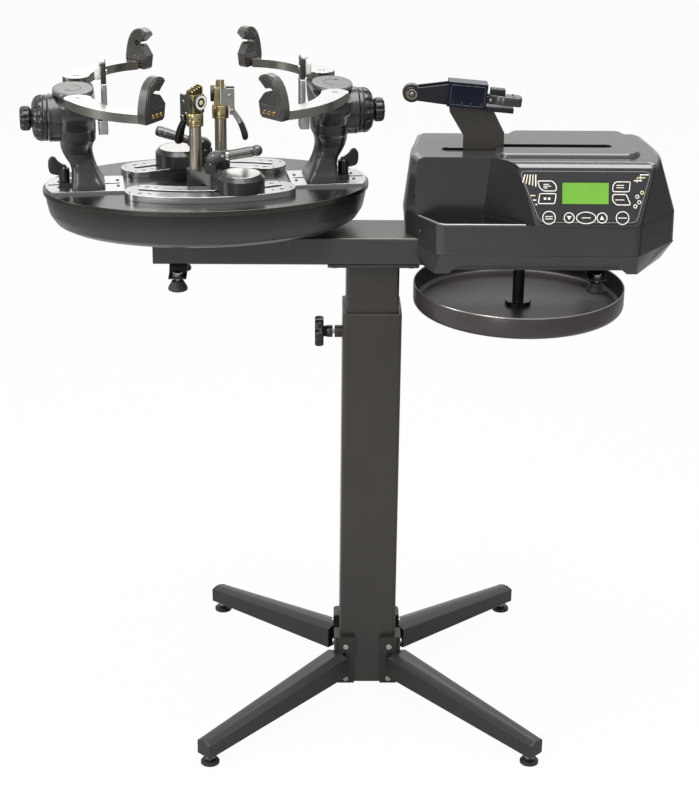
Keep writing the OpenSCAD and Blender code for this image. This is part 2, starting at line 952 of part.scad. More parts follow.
// The centre line of an arm from its pivot to its tip: a curve with one control point
arm_path = [[0, 0], [arm_reach_in * 0.3, -arm_reach_out * 0.79], [arm_reach_in, -arm_reach_out]];
function curve(p, t) = (1 - t) * (1 - t) * p[0] + 2 * t * (1 - t) * p[1] + t * t * p[2];
function heading(p, t) =
    let (d = 2 * (1 - t) * (p[1] - p[0]) + 2 * t * (p[2] - p[1])) atan2(d[1], d[0]);
function arm_half(t) = arm_tip_w / 2 + (1 - t) * (1 - t) * (arm_root_r - 1 - arm_tip_w / 2);
arm_steps = 14;
function arm_edge(s) = [for (i = [0 : arm_steps])
    let (t = 1.25 * i / arm_steps, a = heading(arm_path, t) + 90)
        curve(arm_path, t) + s * arm_half(t) * [cos(a), sin(a)]];
function reversed(v) = [for (i = [len(v) - 1 : -1 : 0]) v[i]];

// Moves a shape from an arm's own frame to its place on a tower; way is 1 at the front
module on_arm(side, way) {
    flip = way * side > 0 ? 1 : 0;
    on_tower(side)
        mirror([1, 0, 0])
            mirror([0, 1 - flip, 0])
                translate([arm_pivot_in, -arm_pivot_y, arm_z])
                    children();
}

// The foot of a hook's outer face, from the arm's pivot
hook_root = [arm_reach_in + 5.5, -arm_reach_out - 22];

module arm(side, way) {
    color(STEEL)
        on_arm(side, way)
            linear_extrude(arm_t)
                difference() {
                    union() {
                        circle(arm_root_r);
                        polygon(concat(arm_edge(1), reversed(arm_edge(-1))));
                    }
                    circle(5 + run_gap);
                    translate(hook_root)
                        rotate(hook_turn)
                            translate([-80, -80])
                                square([200, 80 + hook_t + hook_neck]);
                }
}

// A hook's outline: x along the plate from its spine, y up
function hook_outline() = let (w = hook_w, h = hook_h) [
    [0, 0], [w - 7, 0.5], [w - 3, 4], [w, 22.5], [w - 10, 35], [w - 14, 37.8], [w - 18, 38.3],
    [w - 21, 35.5], [w - 24, 34.4], [w - 27, 36.5], [w - 27.8, 40], [w - 26, 43], [w - 22, 44.2],
    [w - 13.5, 42], [w + 0.5, h - 8.7], [w - 2.5, h - 4], [w - 9, h - 1], [w - 15, h],
    [w - 22, h - 1], [w - 28.7, h - 4], [w - 34.5, h - 9], [w - 39, h - 15.5], [w - 43, h - 24],
    [w - 45.3, h - 32], [w - 47.5, h - 43], [w - 48, h - 52], [w - 46.5, 3]];

module hook(side, way) {
    color(BLACK)
        on_arm(side, way)
            translate([hook_root[0], hook_root[1], 0.5])
                rotate([0, 0, hook_turn]) {
                    translate([0, hook_t, 0])
                        rotate([90, 0, 0])
                            linear_extrude(hook_t)
                                polygon(hook_outline());
                    translate([8, hook_t - 1, 1.5])
                        cube([14, hook_neck + 1, 9]);
                }
}

module head_support(side) {
    x = -support_in;
    color(STEEL)
        on_tower(side) {
            translate([x - 8, -13, support_z0])
                cube([8, 26, support_top - support_z0 - 4]);
            translate([x - 8, -13, support_z0])
                cube([14, 26, 20]);
            translate([x - 5, -13, support_top - 6])
                cube([8, 26, 6]);
            translate([x - 1, -10, support_top - 30])
                cube([10, 20, 20]);
            translate([0, 0, hub_z])
                rod_x(x - 4, rod_hole - 14, support_rod_d / 2);
        }
}

// Moves a shape from a clamp's own frame to its place: way is 1 at the front, -1 at the rear
module on_bar(way) {
    a = way > 0 ? front_clamp_angle : rear_clamp_angle;
    on_table()
        rotate([0, 0, way > 0 ? 0 : 180])
            translate([0, bar_centre_y, 0])
                rotate([0, 0, a])
                    translate([0, -bar_slot_r, 0])
                        rotate([0, 0, -a])
                            children();
}

// Moves a shape whose +X runs from the swivel to the post
module on_base(way) {
    turn = way > 0 ? front_base_turn : rear_base_turn - 180;
    on_bar(way)
        rotate([0, 0, turn])
            children();
}

// Moves a shape from the clamp head's frame, whose +X is the dial's direction
module on_post(way) {
    base_turn = way > 0 ? front_base_turn : rear_base_turn;
    head_turn = way > 0 ? front_head_turn : rear_head_turn;
    on_base(way)
        translate([post_reach, 0, 0])
            rotate([0, 0, head_turn - base_turn])
                children();
}

stem_r = 7;

module glide_nut(way) {
    color(STEEL)
        on_bar(way) {
            translate([0, 0, deck_z - 6])
                cylinder(h = 6 - face_gap, r = bar_slot_w / 2 + 3);
            translate([0, 0, deck_z - 1])
                cylinder(h = bar_t + 1.5, r = bar_slot_w / 2 - run_gap);
            translate([0, 0, bar_top + face_gap])
                cylinder(h = base_h - 3, r = stem_r);
        }
}

tail_drop = 8;

module clamp_base(way) {
    z = bar_top + face_gap;
    w = base_tail_w / 2;
    color(BLACK)
        on_base(way) {
            difference() {
                union() {
                    translate([0, 0, z])
                        linear_extrude(base_h)
                            union() {
                                circle(base_r, $fn = 96);
                                polygon([[20, -base_r + 6], [34, -w - 6], [46, -w], [post_reach, -w],
                                    [post_reach, w], [46, w], [34, w + 6], [20, base_r - 6]]);
                                translate([post_reach, 0])
                                    circle(w);
                            }
                    translate([0, 0, z + base_h - 0.1])
                        cylinder(h = pad_rise + 0.1, r1 = base_r, r2 = base_r - 5, $fn = 96);
                    translate([post_reach - 20, -w, z - tail_drop])
                        cube([20, 2 * w, tail_drop + 1]);
                    translate([post_reach, 0, z - tail_drop])
                        cylinder(h = tail_drop + 1, r = w);
                }
                translate([0, 0, z - 1])
                    cylinder(h = base_h - 2 + 0.6, r = stem_r + run_gap);
                translate([post_reach, 0, z - tail_drop - 1])
                    cylinder(h = base_h + tail_drop + 2, r = post_d / 2 - 1 + run_gap);
            }
            on_lever_pin()
                for (y = [-9.2, 6.2])
                    translate([-8, y, -8])
                        cube([16, 3, 13]);
        }
}

// Moves a shape to the base lever's pin, whose axis is Y
module on_lever_pin() {
    translate([post_reach - 28, 0, base_top + 7])
        rotate([0, 0, lever_turn])
            children();
}

// The cam lever that locks the clamp base, with its handle over the round end
module base_lever(way) {
    color(BLACK)
        on_base(way)
            on_lever_pin() {
                translate([0, 5.7, 0])
                    rotate([90, 0, 0])
                        cylinder(h = 11.4, r = 6);
                translate([0, 5.7, 0])
                    rotate([90, 0, 0])
                        linear_extrude(11.4)
                            polygon([[5.8, 0], [8, 14], [2, 21], [-12, 25], [-28, 26], [-28, 10],
                                [-14, 8], [-5.8, 0]]);
                translate([-24, 0, 17.5])
                    rotate([0, -90, 0])
                        cylinder(h = 44, r1 = 7.5, r2 = 8.5);
                translate([-68, 0, 17.5])
                    sphere(r = 8.5);
            }
}

// The turning post with its collar and the fixed jaw of the head
module clamp_post(way) {
    color(BRASS)
        on_post(way) {
            translate([0, 0, bar_top + face_gap - tail_drop + 2])
                cylinder(h = base_h + tail_drop, r = post_d / 2 - 1);
            translate([0, 0, base_top + face_gap])
                cylinder(h = post_h - face_gap, r = post_d / 2);
            translate([0, 0, post_top])
                cylinder(h = collar_h, r = collar_d / 2);
            difference() {
                union() {
                    translate([0.2, -11, collar_top])
                        cube([9, 22, head_h - 12]);
                    for (i = [0 : 4])
                        translate([0.2, -10.5 + i * 4.6, collar_top + head_h - 13])
                            cube([6, 2.6, 7 + i * 1.5]);
                }
                translate([-1, 0, collar_top + 17])
                    rod_x(0, 14, 2.5 + run_gap);
            }
        }
}

// The moving jaw with the bracket that the head lever turns in
module clamp_jaw(way) {
    color(STEEL)
        on_post(way) {
            translate([-9, -10, collar_top + face_gap])
                cube([8.2, 20, head_h - 12]);
            for (i = [0 : 4])
                translate([-6, -10.5 + i * 4.6, collar_top + head_h - 13])
                    cube([5.2, 2.6, 7 + i * 1.5]);
            for (y = [-10, 6.5]) {
                translate([-21, y, collar_top + face_gap])
                    cube([13, 3.5, 26]);
                translate([-21, y, collar_top - 13])
                    cube([7.4, 3.5, 14]);
            }
        }
}

module clamp_dial(way) {
    color(STEEL)
        on_post(way)
            translate([0, 0, collar_top + 17]) {
                rod_x(9.2 + face_gap, 9.2 + face_gap + dial_t, dial_d / 2);
                rod_x(1, 10.5, 2.5);
            }
}

// The lever that closes the jaws, hanging beside the post
module head_lever(way) {
    color(BLACK)
        on_post(way)
            translate([-17.5, 0, collar_top - 8]) {
                rotate([90, 0, 0])
                    translate([0, 0, -6])
                        cylinder(h = 12, r = 4);
                rotate([0, 24, 0])
                    translate([-4, -5, -16])
                        cube([8, 10, 16]);
                rotate([0, 24, 0])
                    translate([-5, -7, -50])
                        cube([10, 14, 36]);
            }
}

// The cover and the pan in rising slices: height, then how far each side is drawn in:
// left, right, front, back, and the cut corners' sizes at the left and the right
cover_slices = [
    [unit_joint_z, 4, -1, 1, 0, unit_corner_l - 2, unit_corner_r + 1],
    [unit_ledge_z, 0, 0, 0, 0, unit_corner_l, unit_corner_r],
    [unit_top_z - 7, 10, 27, 24.5, 6, 16, 17],
    [unit_top_z - 3, 13, 31, 29, 7, 12, 12],
    [unit_top_z - 0.1, 19, 38, 38, 10, 12, 12]];
pan_slices = [
    [unit_z0, 14, 18, 2, 2, 29, 47],
    [unit_joint_z - face_gap - 0.1, 4, -1, 1, 0, unit_corner_l - 2, unit_corner_r + 1]];

// The outline of one slice, drawn in by wall on every side
function slice_points(s, wall) =
    let (x0 = unit_x0 + s[1] + wall,
        x1 = unit_x1 - s[2] - wall,
        y0 = -unit_front + s[3] + wall,
        y1 = unit_back - s[4] - wall,
        cl = s[5] - wall * 0.4,
        cr = s[6] - wall * 0.4)
    [[x0, -unit_side], [x0 + cl, y0], [x1 - cr, y0], [x1, -unit_side],
        [x1, unit_side], [x1 - cr, y1], [x0 + cl, y1], [x0, unit_side]];

module plan_slice(s, z, wall) {
    translate([0, 0, z])
        linear_extrude(0.1)
            polygon(slice_points(s, wall));
}

pocket_y = -45;
pocket_x = unit_x0 + 117;

// The cover's whole outline, drawn in by wall on every side
module cover_solid(wall) {
    hull()
        for (s = cover_slices)
            plan_slice(s, s[0] - (s[0] == unit_joint_z && wall > 0 ? 1 : 0) - (s[0] > unit_ledge_z ? wall : 0), wall);
}

// The open corner at the front left, above the ledge, grown by wall
module pocket_cut(wall) {
    hull()
        for (k = [0, 1])
            translate([k * 11, 0, unit_ledge_z - wall + k * 110])
                linear_extrude(0.1)
                    polygon([[unit_x0 - 50, pocket_y + wall], [pocket_x + wall, pocket_y + wall],
                        [pocket_x + wall + 115, pocket_y - 85], [unit_x0 - 50, pocket_y - 85]]);
    translate([0, 0, unit_ledge_z - 18 - wall])
        linear_extrude(30)
            polygon([[unit_x0 + 20 - wall, pocket_y + wall], [pocket_x + wall, pocket_y + wall],
                [pocket_x + 62 + wall, -unit_front + 7 - wall], [unit_x0 + 53 - wall, -unit_front + 7 - wall]]);
}

module housing() {
    x0 = unit_x0 + slot_start;
    x1 = x0 + slot_l;
    color(SATIN)
        at_column()
            difference() {
                union() {
                    difference() {
                        cover_solid(0);
                        pocket_cut(0);
                    }
                    translate([0, 0, unit_top_z - 1])
                        linear_extrude(raised_h + 1)
                            polygon([[x0 + 90, -44], [x1 + 24, -44], [x1 + 37, -28], [x1 + 38, 50],
                                [x1 + 22, unit_back - 13], [x0 + 116, unit_back - 13],
                                [x0 + 104, 70], [x0 + 76, -30]]);
                }
                difference() {
                    cover_solid(shell_t);
                    pocket_cut(shell_t);
                }
                translate([0, 0, unit_top_z - 20])
                    linear_extrude(40)
                        slide_slot(slot_w, x0 + slot_w / 2, x1 - slot_w / 2);
                translate([inlet_x - 15, unit_back - 20, inlet_z - 12])
                    cube([50, 40, 24]);
                translate([unit_x0 - 1, -beam_w / 2 - face_gap, unit_joint_z - 1])
                    cube([80, beam_w + 2 * face_gap, beam_top + 2 * face_gap - unit_joint_z + 1]);
            }
}

pan_floor_z = beam_top + face_gap;
inlet_x = unit_x1 - 110;
inlet_z = unit_joint_z + 27;

module pan_solid(wall) {
    hull()
        for (s = pan_slices)
            plan_slice(s, s[0] - (s[0] == unit_z0 && wall > 0 ? 1 : 0), wall);
}

module base_pan() {
    z1 = unit_joint_z - face_gap;
    arch_l = unit_x0 + 63;
    arch_r = unit_x0 + 330;
    color(BLACK)
        at_column() {
            difference() {
                pan_solid(0);
                pan_solid(shell_t);
                translate([unit_x0 - 1, -beam_w / 2 - face_gap, unit_z0 - 1])
                    cube([80, beam_w + 2 * face_gap, pan_floor_z - unit_z0 + 1]);
                translate([0, 0, unit_z0])
                    rotate([90, 0, 0])
                        translate([0, 0, -unit_back - 1])
                            linear_extrude(unit_front + unit_back + 2)
                                polygon([[arch_l, -1], [arch_r, -1], [arch_r - 16, 13], [arch_l + 16, 13]]);
            }
            translate([0, 0, z1 - 3])
                difference() {
                    union() {
                        linear_extrude(3)
                            polygon(slice_points(cover_slices[0], shell_t - 0.5));
                        linear_extrude(pan_floor_z + shell_t - z1 + 3)
                            polygon(slice_points(cover_slices[0], shell_t + 1));
                    }
                    translate([0, 0, -1])
                        linear_extrude(pan_floor_z - z1 + 4)
                            polygon(slice_points(cover_slices[0], shell_t + 4));
                    translate([unit_x0 - 1, -beam_w / 2 - face_gap, -1])
                        cube([80, beam_w + 2 * face_gap, pan_floor_z - z1 + 4]);
                }
        }
}

// The key membrane with its display window, on the sloping front face
panel_low = [-unit_front, unit_ledge_z];
panel_high = [-unit_front + cover_slices[2][3], cover_slices[2][0]];
panel_tilt = atan2(panel_high[0] - panel_low[0], panel_high[1] - panel_low[1]);
panel_slope = norm(panel_high - panel_low);
panel_bottom = 3;
panel_top = panel_slope - 1;

module on_panel() {
    at_column()
        translate([unit_x0 + panel_at, panel_low[0], panel_low[1]])
            rotate([90 - panel_tilt, 0, 0])
                translate([0, 0, face_gap])
                    children();
}

module control_panel() {
    color(BLACK)
        on_panel() {
            linear_extrude(1.5)
                difference() {
                    polygon([[-panel_l * 0.49, panel_bottom], [panel_l * 0.51, panel_bottom],
                        [panel_l * 0.66, panel_top], [-panel_l * 0.726, panel_top]]);
                    translate([-display_l * 0.56, panel_slope * 0.386])
                        square([display_l, display_h]);
                }
            translate([-display_l * 0.56, panel_slope * 0.386, 0])
                cube([display_l, display_h, 0.9]);
        }
}

carriage_z = screw_z - 12;
blade_x1 = blade_x + blade_l;

// The height of the head's tilted underside at x from its turning point, lowered by d
function under_head(x, d) = head_z0 + 6 - x * tan(head_tilt) - d;

module head_blade() {
    color(SATIN)
        at_column()
            difference() {
                union() {
                    translate([blade_x, -18, carriage_z])
                        cube([blade_l, 36, 26]);
                    rotate([90, 0, 0])
                        translate([0, 0, -blade_t / 2])
                            linear_extrude(blade_t)
                                polygon([[blade_x, carriage_z + 20], [blade_x1, carriage_z + 20],
                                    [blade_x1, unit_top_z + 26],
                                    [head_x + head_l + 13, under_head(head_l + 13, 3 + face_gap)],
                                    [head_x + head_l - 1, under_head(head_l - 1, 3 + face_gap)],
                                    [head_x + head_l - 1, under_head(head_l - 1, 0)],
                                    [head_x + 4, under_head(4, 0)], [head_x + 6, head_z0 - 6],
                                    [blade_x, unit_top_z + 22]]);
                }
                translate([0, 0, screw_z])
                    rod_x(blade_x - 1, blade_x1 + 1, screw_d / 2 + run_gap);
            }
}

// The point that the casing is tilted about, below its nose end
head_x = blade_x - 27;

module on_head() {
    at_column()
        translate([head_x, 0, head_z0 + 6])
            rotate([0, head_tilt, 0])
                children();
}

nose_x = -52.5;
nose_z = 12.5;
grip_z = 14;
lug_y = 9.8;

module head_casing() {
    t = 2.5;
    color(STEEL)
        on_head() {
            difference() {
                translate([0, -head_case_w / 2, 0])
                    cube([head_l, head_case_w, head_case_h]);
                translate([t, -head_case_w / 2 + t, -1])
                    cube([head_l - 2 * t, head_case_w - 2 * t, head_case_h - t + 1]);
            }
            for (y = [-head_case_w / 2 + 1 + t, head_case_w / 2 - 1 - t])
                translate([0, y, 0])
                    rotate([90, 0, 0])
                        translate([0, 0, -1.5])
                            linear_extrude(3)
                                difference() {
                                    union() {
                                        polygon([[nose_x, nose_z - 8.5], [t + 1, 1.5],
                                            [t + 1, head_case_h - 4], [nose_x, nose_z + 8.5]]);
                                        translate([nose_x, nose_z])
                                            circle(8.5);
                                    }
                                    translate([nose_x, nose_z])
                                        circle(3 + run_gap);
                                }
            translate([t + 1, -blade_t / 2 - 4, 2])
                cube([head_l - 2 * t - 2, 4 - 0.2, head_case_h - t - 4]);
            translate([head_l - 1, -10, -3])
                cube([43, 20, 7]);
            for (y = [-lug_y, lug_y])
                translate([0, y, 0])
                    rotate([90, 0, 0])
                        translate([0, 0, -1.5])
                            linear_extrude(3)
                                hull() {
                                    translate([head_l - 2, grip_z - 5])
                                        square([1, 10]);
                                    translate([head_l + 6, grip_z])
                                        circle(5);
                                }
            translate([head_l + 6, lug_y, grip_z])
                rotate([90, 0, 0])
                    cylinder(h = 2 * lug_y, r = 2);
        }
}

// The gripper's handle plate beside the head's right end
module gripper_lever() {
    color(BLACK)
        on_head()
            translate([head_l + 6, 0, grip_z])
                difference() {
                    union() {
                        translate([0, 8, 0])
                            rotate([90, 0, 0])
                                cylinder(h = 16, r = 5);
                        translate([0, -8, -7])
                            cube([14, 16, 12]);
                        translate([8, -12, -7])
                            cube([36, 24, 12]);
                        translate([4, -4, 3])
                            cube([16, 12, 16]);
                    }
                    translate([0, 13, 0])
                        rotate([90, 0, 0])
                            cylinder(h = 26, r = 2 + run_gap);
                }
}

module nose_roller() {
    color(BLACK)
        on_head()
            translate([nose_x, 0, nose_z])
                rotate([90, 0, 0]) {
                    translate([0, 0, -roller_w / 2])
                        cylinder(h = roller_w, r = roller_d / 2);
                    translate([0, 0, -head_case_w / 2])
                        cylinder(h = head_case_w, r = 3);
                }
}

screw_x0 = unit_x0 + 24;
screw_x1 = unit_x0 + 336;

module lead_screw() {
    color(STEEL)
        at_column()
            translate([0, 0, screw_z])
                rod_x(screw_x0, screw_x1, screw_d / 2);
}

// The gear motor at the right end of the lead screw, with both screw bearings
module drive_motor() {
    z0 = pan_floor_z + shell_t;
    color(STEEL)
        at_column()
            difference() {
                union() {
                    translate([screw_x0 - 4, -16, z0])
                        cube([14, 32, screw_z - z0 + 14]);
                    translate([screw_x1 - 10, -26, z0])
                        cube([34, 52, screw_z - z0 + 24]);
                    translate([0, 40, z0 + 26])
                        rod_x(screw_x1 - 64, screw_x1 + 20, 22);
                    translate([screw_x1 - 60, 22, z0])
                        cube([50, 36, 12]);
                }
                translate([0, 0, screw_z])
                    rod_x(screw_x0 - 10, screw_x1 + 1, screw_d / 2 + run_gap);
            }
}

module power_inlet() {
    color(BLACK)
        at_column()
            translate([inlet_x, unit_back, inlet_z])
                rotate([-90, 0, 0])
                    difference() {
                        translate([-15, -12, -22])
                            cube([50, 24, 23]);
                        translate([-12, -8, -16])
                            cube([24, 16, 20]);
                        translate([18, -9, -14])
                            cube([14, 18, 20]);
                    }
}

module power_switch() {
    color(BLACK)
        at_column()
            translate([inlet_x + 25, unit_back - 1, inlet_z])
                intersection() {
                    translate([-6.5, -11, -8.5])
                        cube([13, 14, 17]);
                    rotate([0, 90, 0])
                        translate([0, -4, -7])
                            cylinder(h = 14, r = 8.4);
                }
}

outer_column();
column_sleeve();
legs();
leg_end_feet();
leg_screws();
height_lock_knob();
inner_column();
beam();
bench_bolts();
table_feet();
tool_tray();
turntable_spindle();
turntable_dish();
deck_plate();
tower_slides();
glide_bars();
deck_screws();
tower(left_sign);  // left_tower
lock_lever(left_sign);  // left_lock_lever
arm_knob(left_sign);  // left_arm_knob
support_knob(left_sign);  // left_support_knob
arm(left_sign, 1);  // left_front_arm
arm(left_sign, -1);  // left_rear_arm
hook(left_sign, 1);  // left_front_hook
hook(left_sign, -1);  // left_rear_hook
head_support(left_sign);  // left_head_support
tower(right_sign);  // right_tower
lock_lever(right_sign);  // right_lock_lever
arm_knob(right_sign);  // right_arm_knob
support_knob(right_sign);  // right_support_knob
arm(right_sign, 1);  // right_front_arm
arm(right_sign, -1);  // right_rear_arm
hook(right_sign, 1);  // right_front_hook
hook(right_sign, -1);  // right_rear_hook
head_support(right_sign);  // right_head_support
glide_nut(1);  // front_glide_nut
clamp_base(1);  // front_clamp_base
base_lever(1);  // front_base_lever
clamp_post(1);  // front_clamp_post
clamp_jaw(1);  // front_clamp_jaw
clamp_dial(1);  // front_clamp_dial
head_lever(1);  // front_head_lever
glide_nut(-1);  // rear_glide_nut
clamp_base(-1);  // rear_clamp_base
base_lever(-1);  // rear_base_lever
clamp_post(-1);  // rear_clamp_post
clamp_jaw(-1);  // rear_clamp_jaw
clamp_dial(-1);  // rear_clamp_dial
head_lever(-1);  // rear_head_lever
housing();
base_pan();
control_panel();
head_blade();
head_casing();
gripper_lever();
nose_roller();
lead_screw();
drive_motor();
power_inlet();
power_switch();
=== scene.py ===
import json
import math

import bmesh
import bpy
import numpy as np
from mathutils import Matrix, Vector


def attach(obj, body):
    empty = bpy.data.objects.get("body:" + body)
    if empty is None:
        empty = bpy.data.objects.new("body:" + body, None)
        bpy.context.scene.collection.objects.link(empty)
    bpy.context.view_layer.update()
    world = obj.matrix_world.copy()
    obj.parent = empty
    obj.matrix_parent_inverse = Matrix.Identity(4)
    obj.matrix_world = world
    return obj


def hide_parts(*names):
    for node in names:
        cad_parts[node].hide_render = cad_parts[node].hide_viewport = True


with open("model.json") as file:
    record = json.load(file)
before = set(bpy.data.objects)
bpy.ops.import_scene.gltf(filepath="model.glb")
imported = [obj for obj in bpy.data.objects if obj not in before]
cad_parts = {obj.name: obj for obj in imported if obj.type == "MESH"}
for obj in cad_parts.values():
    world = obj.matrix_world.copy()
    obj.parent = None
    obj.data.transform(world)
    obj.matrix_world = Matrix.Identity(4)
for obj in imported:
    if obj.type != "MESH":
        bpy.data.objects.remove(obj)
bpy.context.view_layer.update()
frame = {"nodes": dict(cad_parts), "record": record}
MM = 0.001


# ---------------------------------------------------------------- places
def shift(x=0.0, y=0.0, z=0.0):
    m = np.eye(4)
    m[:3, 3] = (x, y, z)
    return m


def turn(axis, degrees):
    return np.array(Matrix.Rotation(math.radians(degrees), 4, axis))


COLUMN_X = 33.3
DECK_Z, BAR_TOP, SLIDE_TOP = 857.0, 867.0, 861.0
DISH_Z = 791.0
BASE_TOP = BAR_TOP + 0.3 + 18.7
POST_TOP = BASE_TOP + 65
COLLAR_TOP = POST_TOP + 19.5
SLOT_R = 270.0
HUB_Z, HUB_END = 101.7, 37.7
COLUMN = shift(COLUMN_X)
TABLE = COLUMN @ shift(-250) @ turn("Z", 7.4)
UNIT = COLUMN @ shift(45)
TOWERS = {
    "left": TABLE @ turn("Z", 180) @ shift(193.5, 0, SLIDE_TOP),
    "right": TABLE @ shift(188, 0, SLIDE_TOP),
}
ALONG_X = turn("Y", 90)


def clamp_places(way):
    """The bar, base and post frames of one clamp: way is 1 at the front and -1 at the rear."""
    angle, base, head = (9.3, 138.7, -52) if way > 0 else (7.9, -42.5, 174)
    bar = TABLE @ turn("Z", 0 if way > 0 else 180) @ shift(0, SLOT_R - 80)
    bar = bar @ turn("Z", angle) @ shift(0, -SLOT_R) @ turn("Z", -angle)
    base_at = bar @ turn("Z", base if way > 0 else base - 180)
    post_at = base_at @ shift(82) @ turn("Z", head - base)
    return bar, base_at, post_at


HEAD = COLUMN @ shift(105, 0, 979.5) @ turn("Y", 5)
PANEL_TILT = math.degrees(math.atan2(24.5, 82))
PANEL = COLUMN @ shift(311, -99, 822) @ turn("X", 90 - PANEL_TILT) @ shift(0, 0, 0.3)


# ---------------------------------------------------------------- finishes
class Value:
    """One output of a finish's nodes, with the sums and products of shader maths."""

    def __init__(self, finish, socket):
        self.finish = finish
        self.socket = socket

    def math(self, kind, other=None, swap=False, clamp=False):
        ends = [self] if other is None else [self, other]
        if swap:
            ends.reverse()
        return self.finish.node("Math", {"operation": kind, "use_clamp": clamp}, dict(enumerate(ends)))

    def __add__(self, other):
        return self.math("ADD", other)

    __radd__ = __add__

    def __mul__(self, other):
        return self.math("MULTIPLY", other)

    __rmul__ = __mul__

    def __sub__(self, other):
        return self.math("SUBTRACT", other)

    def __rsub__(self, other):
        return self.math("SUBTRACT", other, swap=True)

    def above(self, low, high):
        """0 below low, 1 above high, and a soft rise between."""
        return self.finish.node(
            "MapRange", {"interpolation_type": "SMOOTHSTEP"}, {"Value": self, "From Min": low, "From Max": high}
        )


class Finish:
    """A procedural material: nodes on the object's own coordinates around one Principled shader."""

    def __init__(self, name):
        self.material = bpy.data.materials.new(name)
        self.material.use_nodes = True
        self.tree = self.material.node_tree
        self.shader = self.tree.nodes["Principled BSDF"]
        coords = self.tree.nodes.new("ShaderNodeTexCoord")
        self.place = Value(self, coords.outputs["Object"])

    def node(self, kind, settings=None, ends=None, out=0):
        made = self.tree.nodes.new("ShaderNode" + kind)
        for key, value in (settings or {}).items():
            setattr(made, key, value)
        for key, value in (ends or {}).items():
            self.join(made.inputs[key], value)
        return Value(self, made.outputs[out])

    def join(self, socket, value):
        if isinstance(value, Value):
            self.tree.links.new(value.socket, socket)
        else:
            socket.default_value = value

    def stretched(self, x, y, z):
        return self.node("VectorMath", {"operation": "MULTIPLY"}, {0: self.place, 1: (x, y, z)})

    def noise(self, scale, detail=3.0, rough=0.55, place=None):
        ends = {"Vector": place or self.place, "Scale": scale, "Detail": detail, "Roughness": rough}
        return self.node("TexNoise", {}, ends)

    def mix(self, share, low, high):
        ends = {0: share, 6: low, 7: high}
        return self.node("Mix", {"data_type": "RGBA"}, ends, out=2)

    def axis(self, name):
        return self.node("SeparateXYZ", {}, {0: self.place}, out="XYZ".index(name))

    def put(self, **ends):
        for key, value in ends.items():
            self.join(self.shader.inputs[key.replace("_", " ")], value)
        return self

    def bump(self, height, strength, distance):
        self.put(Normal=self.node("Bump", {}, {"Height": height, "Strength": strength, "Distance": distance}))
        return self


def rgb(r, g, b):
    """A colour from display values of 0 to 255."""
    return tuple(
        [((c / 255 + 0.055) / 1.055) ** 2.4 if c > 10 else c / 255 / 12.92 for c in (r, g, b)] + [1.0]
    )


def tint(colour, factor):
    return tuple([min(1.0, c * factor) for c in colour[:3]] + [1.0])


def painted(name, colour, rough=0.42, grain=900.0, depth=0.25, metallic=0.0, spread=0.1, coat=0.0, shine=0.42, painted_shade_band=None):
    """Paint, casting or moulded plastic: a faint cloud in its tone, a fine texture and a little wear in its gloss. An
    optional band (low, high, factor) scales the colour above a height: painted shade.
    """
    f = Finish(name)
    cloud = f.noise(7.0, 2.0)
    fine = f.noise(grain, 2.0, 0.6)
    scuff = f.noise(30.0, 4.0, 0.6).above(0.6, 0.85)
    tone = f.mix(cloud.above(0.25, 0.75), tint(colour, 1 - spread), tint(colour, 1 + spread))
    # painted shade: the colour is scaled by the band's factor above its heights
    if painted_shade_band:
        tone = f.mix(f.axis("Z").above(painted_shade_band[0], painted_shade_band[1]), tone, tint(colour, painted_shade_band[2]))
    f.put(Base_Color=tone)
    f.put(Metallic=metallic, Specular_IOR_Level=shine, Coat_Weight=coat, Coat_Roughness=0.12)
    f.put(Roughness=rough - 0.02 + fine * 0.04 + scuff * 0.05)
    return f.bump(fine, depth, 0.0001)


def brushed(name, colour, rough=0.25, along=(4, 60, 60), depth=0.04, spread=0.05):
    """Drawn or ground metal: fine hair lines along one direction in its tone and gloss."""
    f = Finish(name)
    hair = f.noise(60.0, 2.0, 0.5, f.stretched(*along))
    stain = f.noise(9.0, 2.0)
    f.put(Base_Color=f.mix(hair, tint(colour, 1 - spread), tint(colour, 1 + spread)), Metallic=1.0)
    f.put(Roughness=rough - 0.04 + hair * 0.06 + stain * 0.03)
    return f.bump(hair, depth, 0.00003)


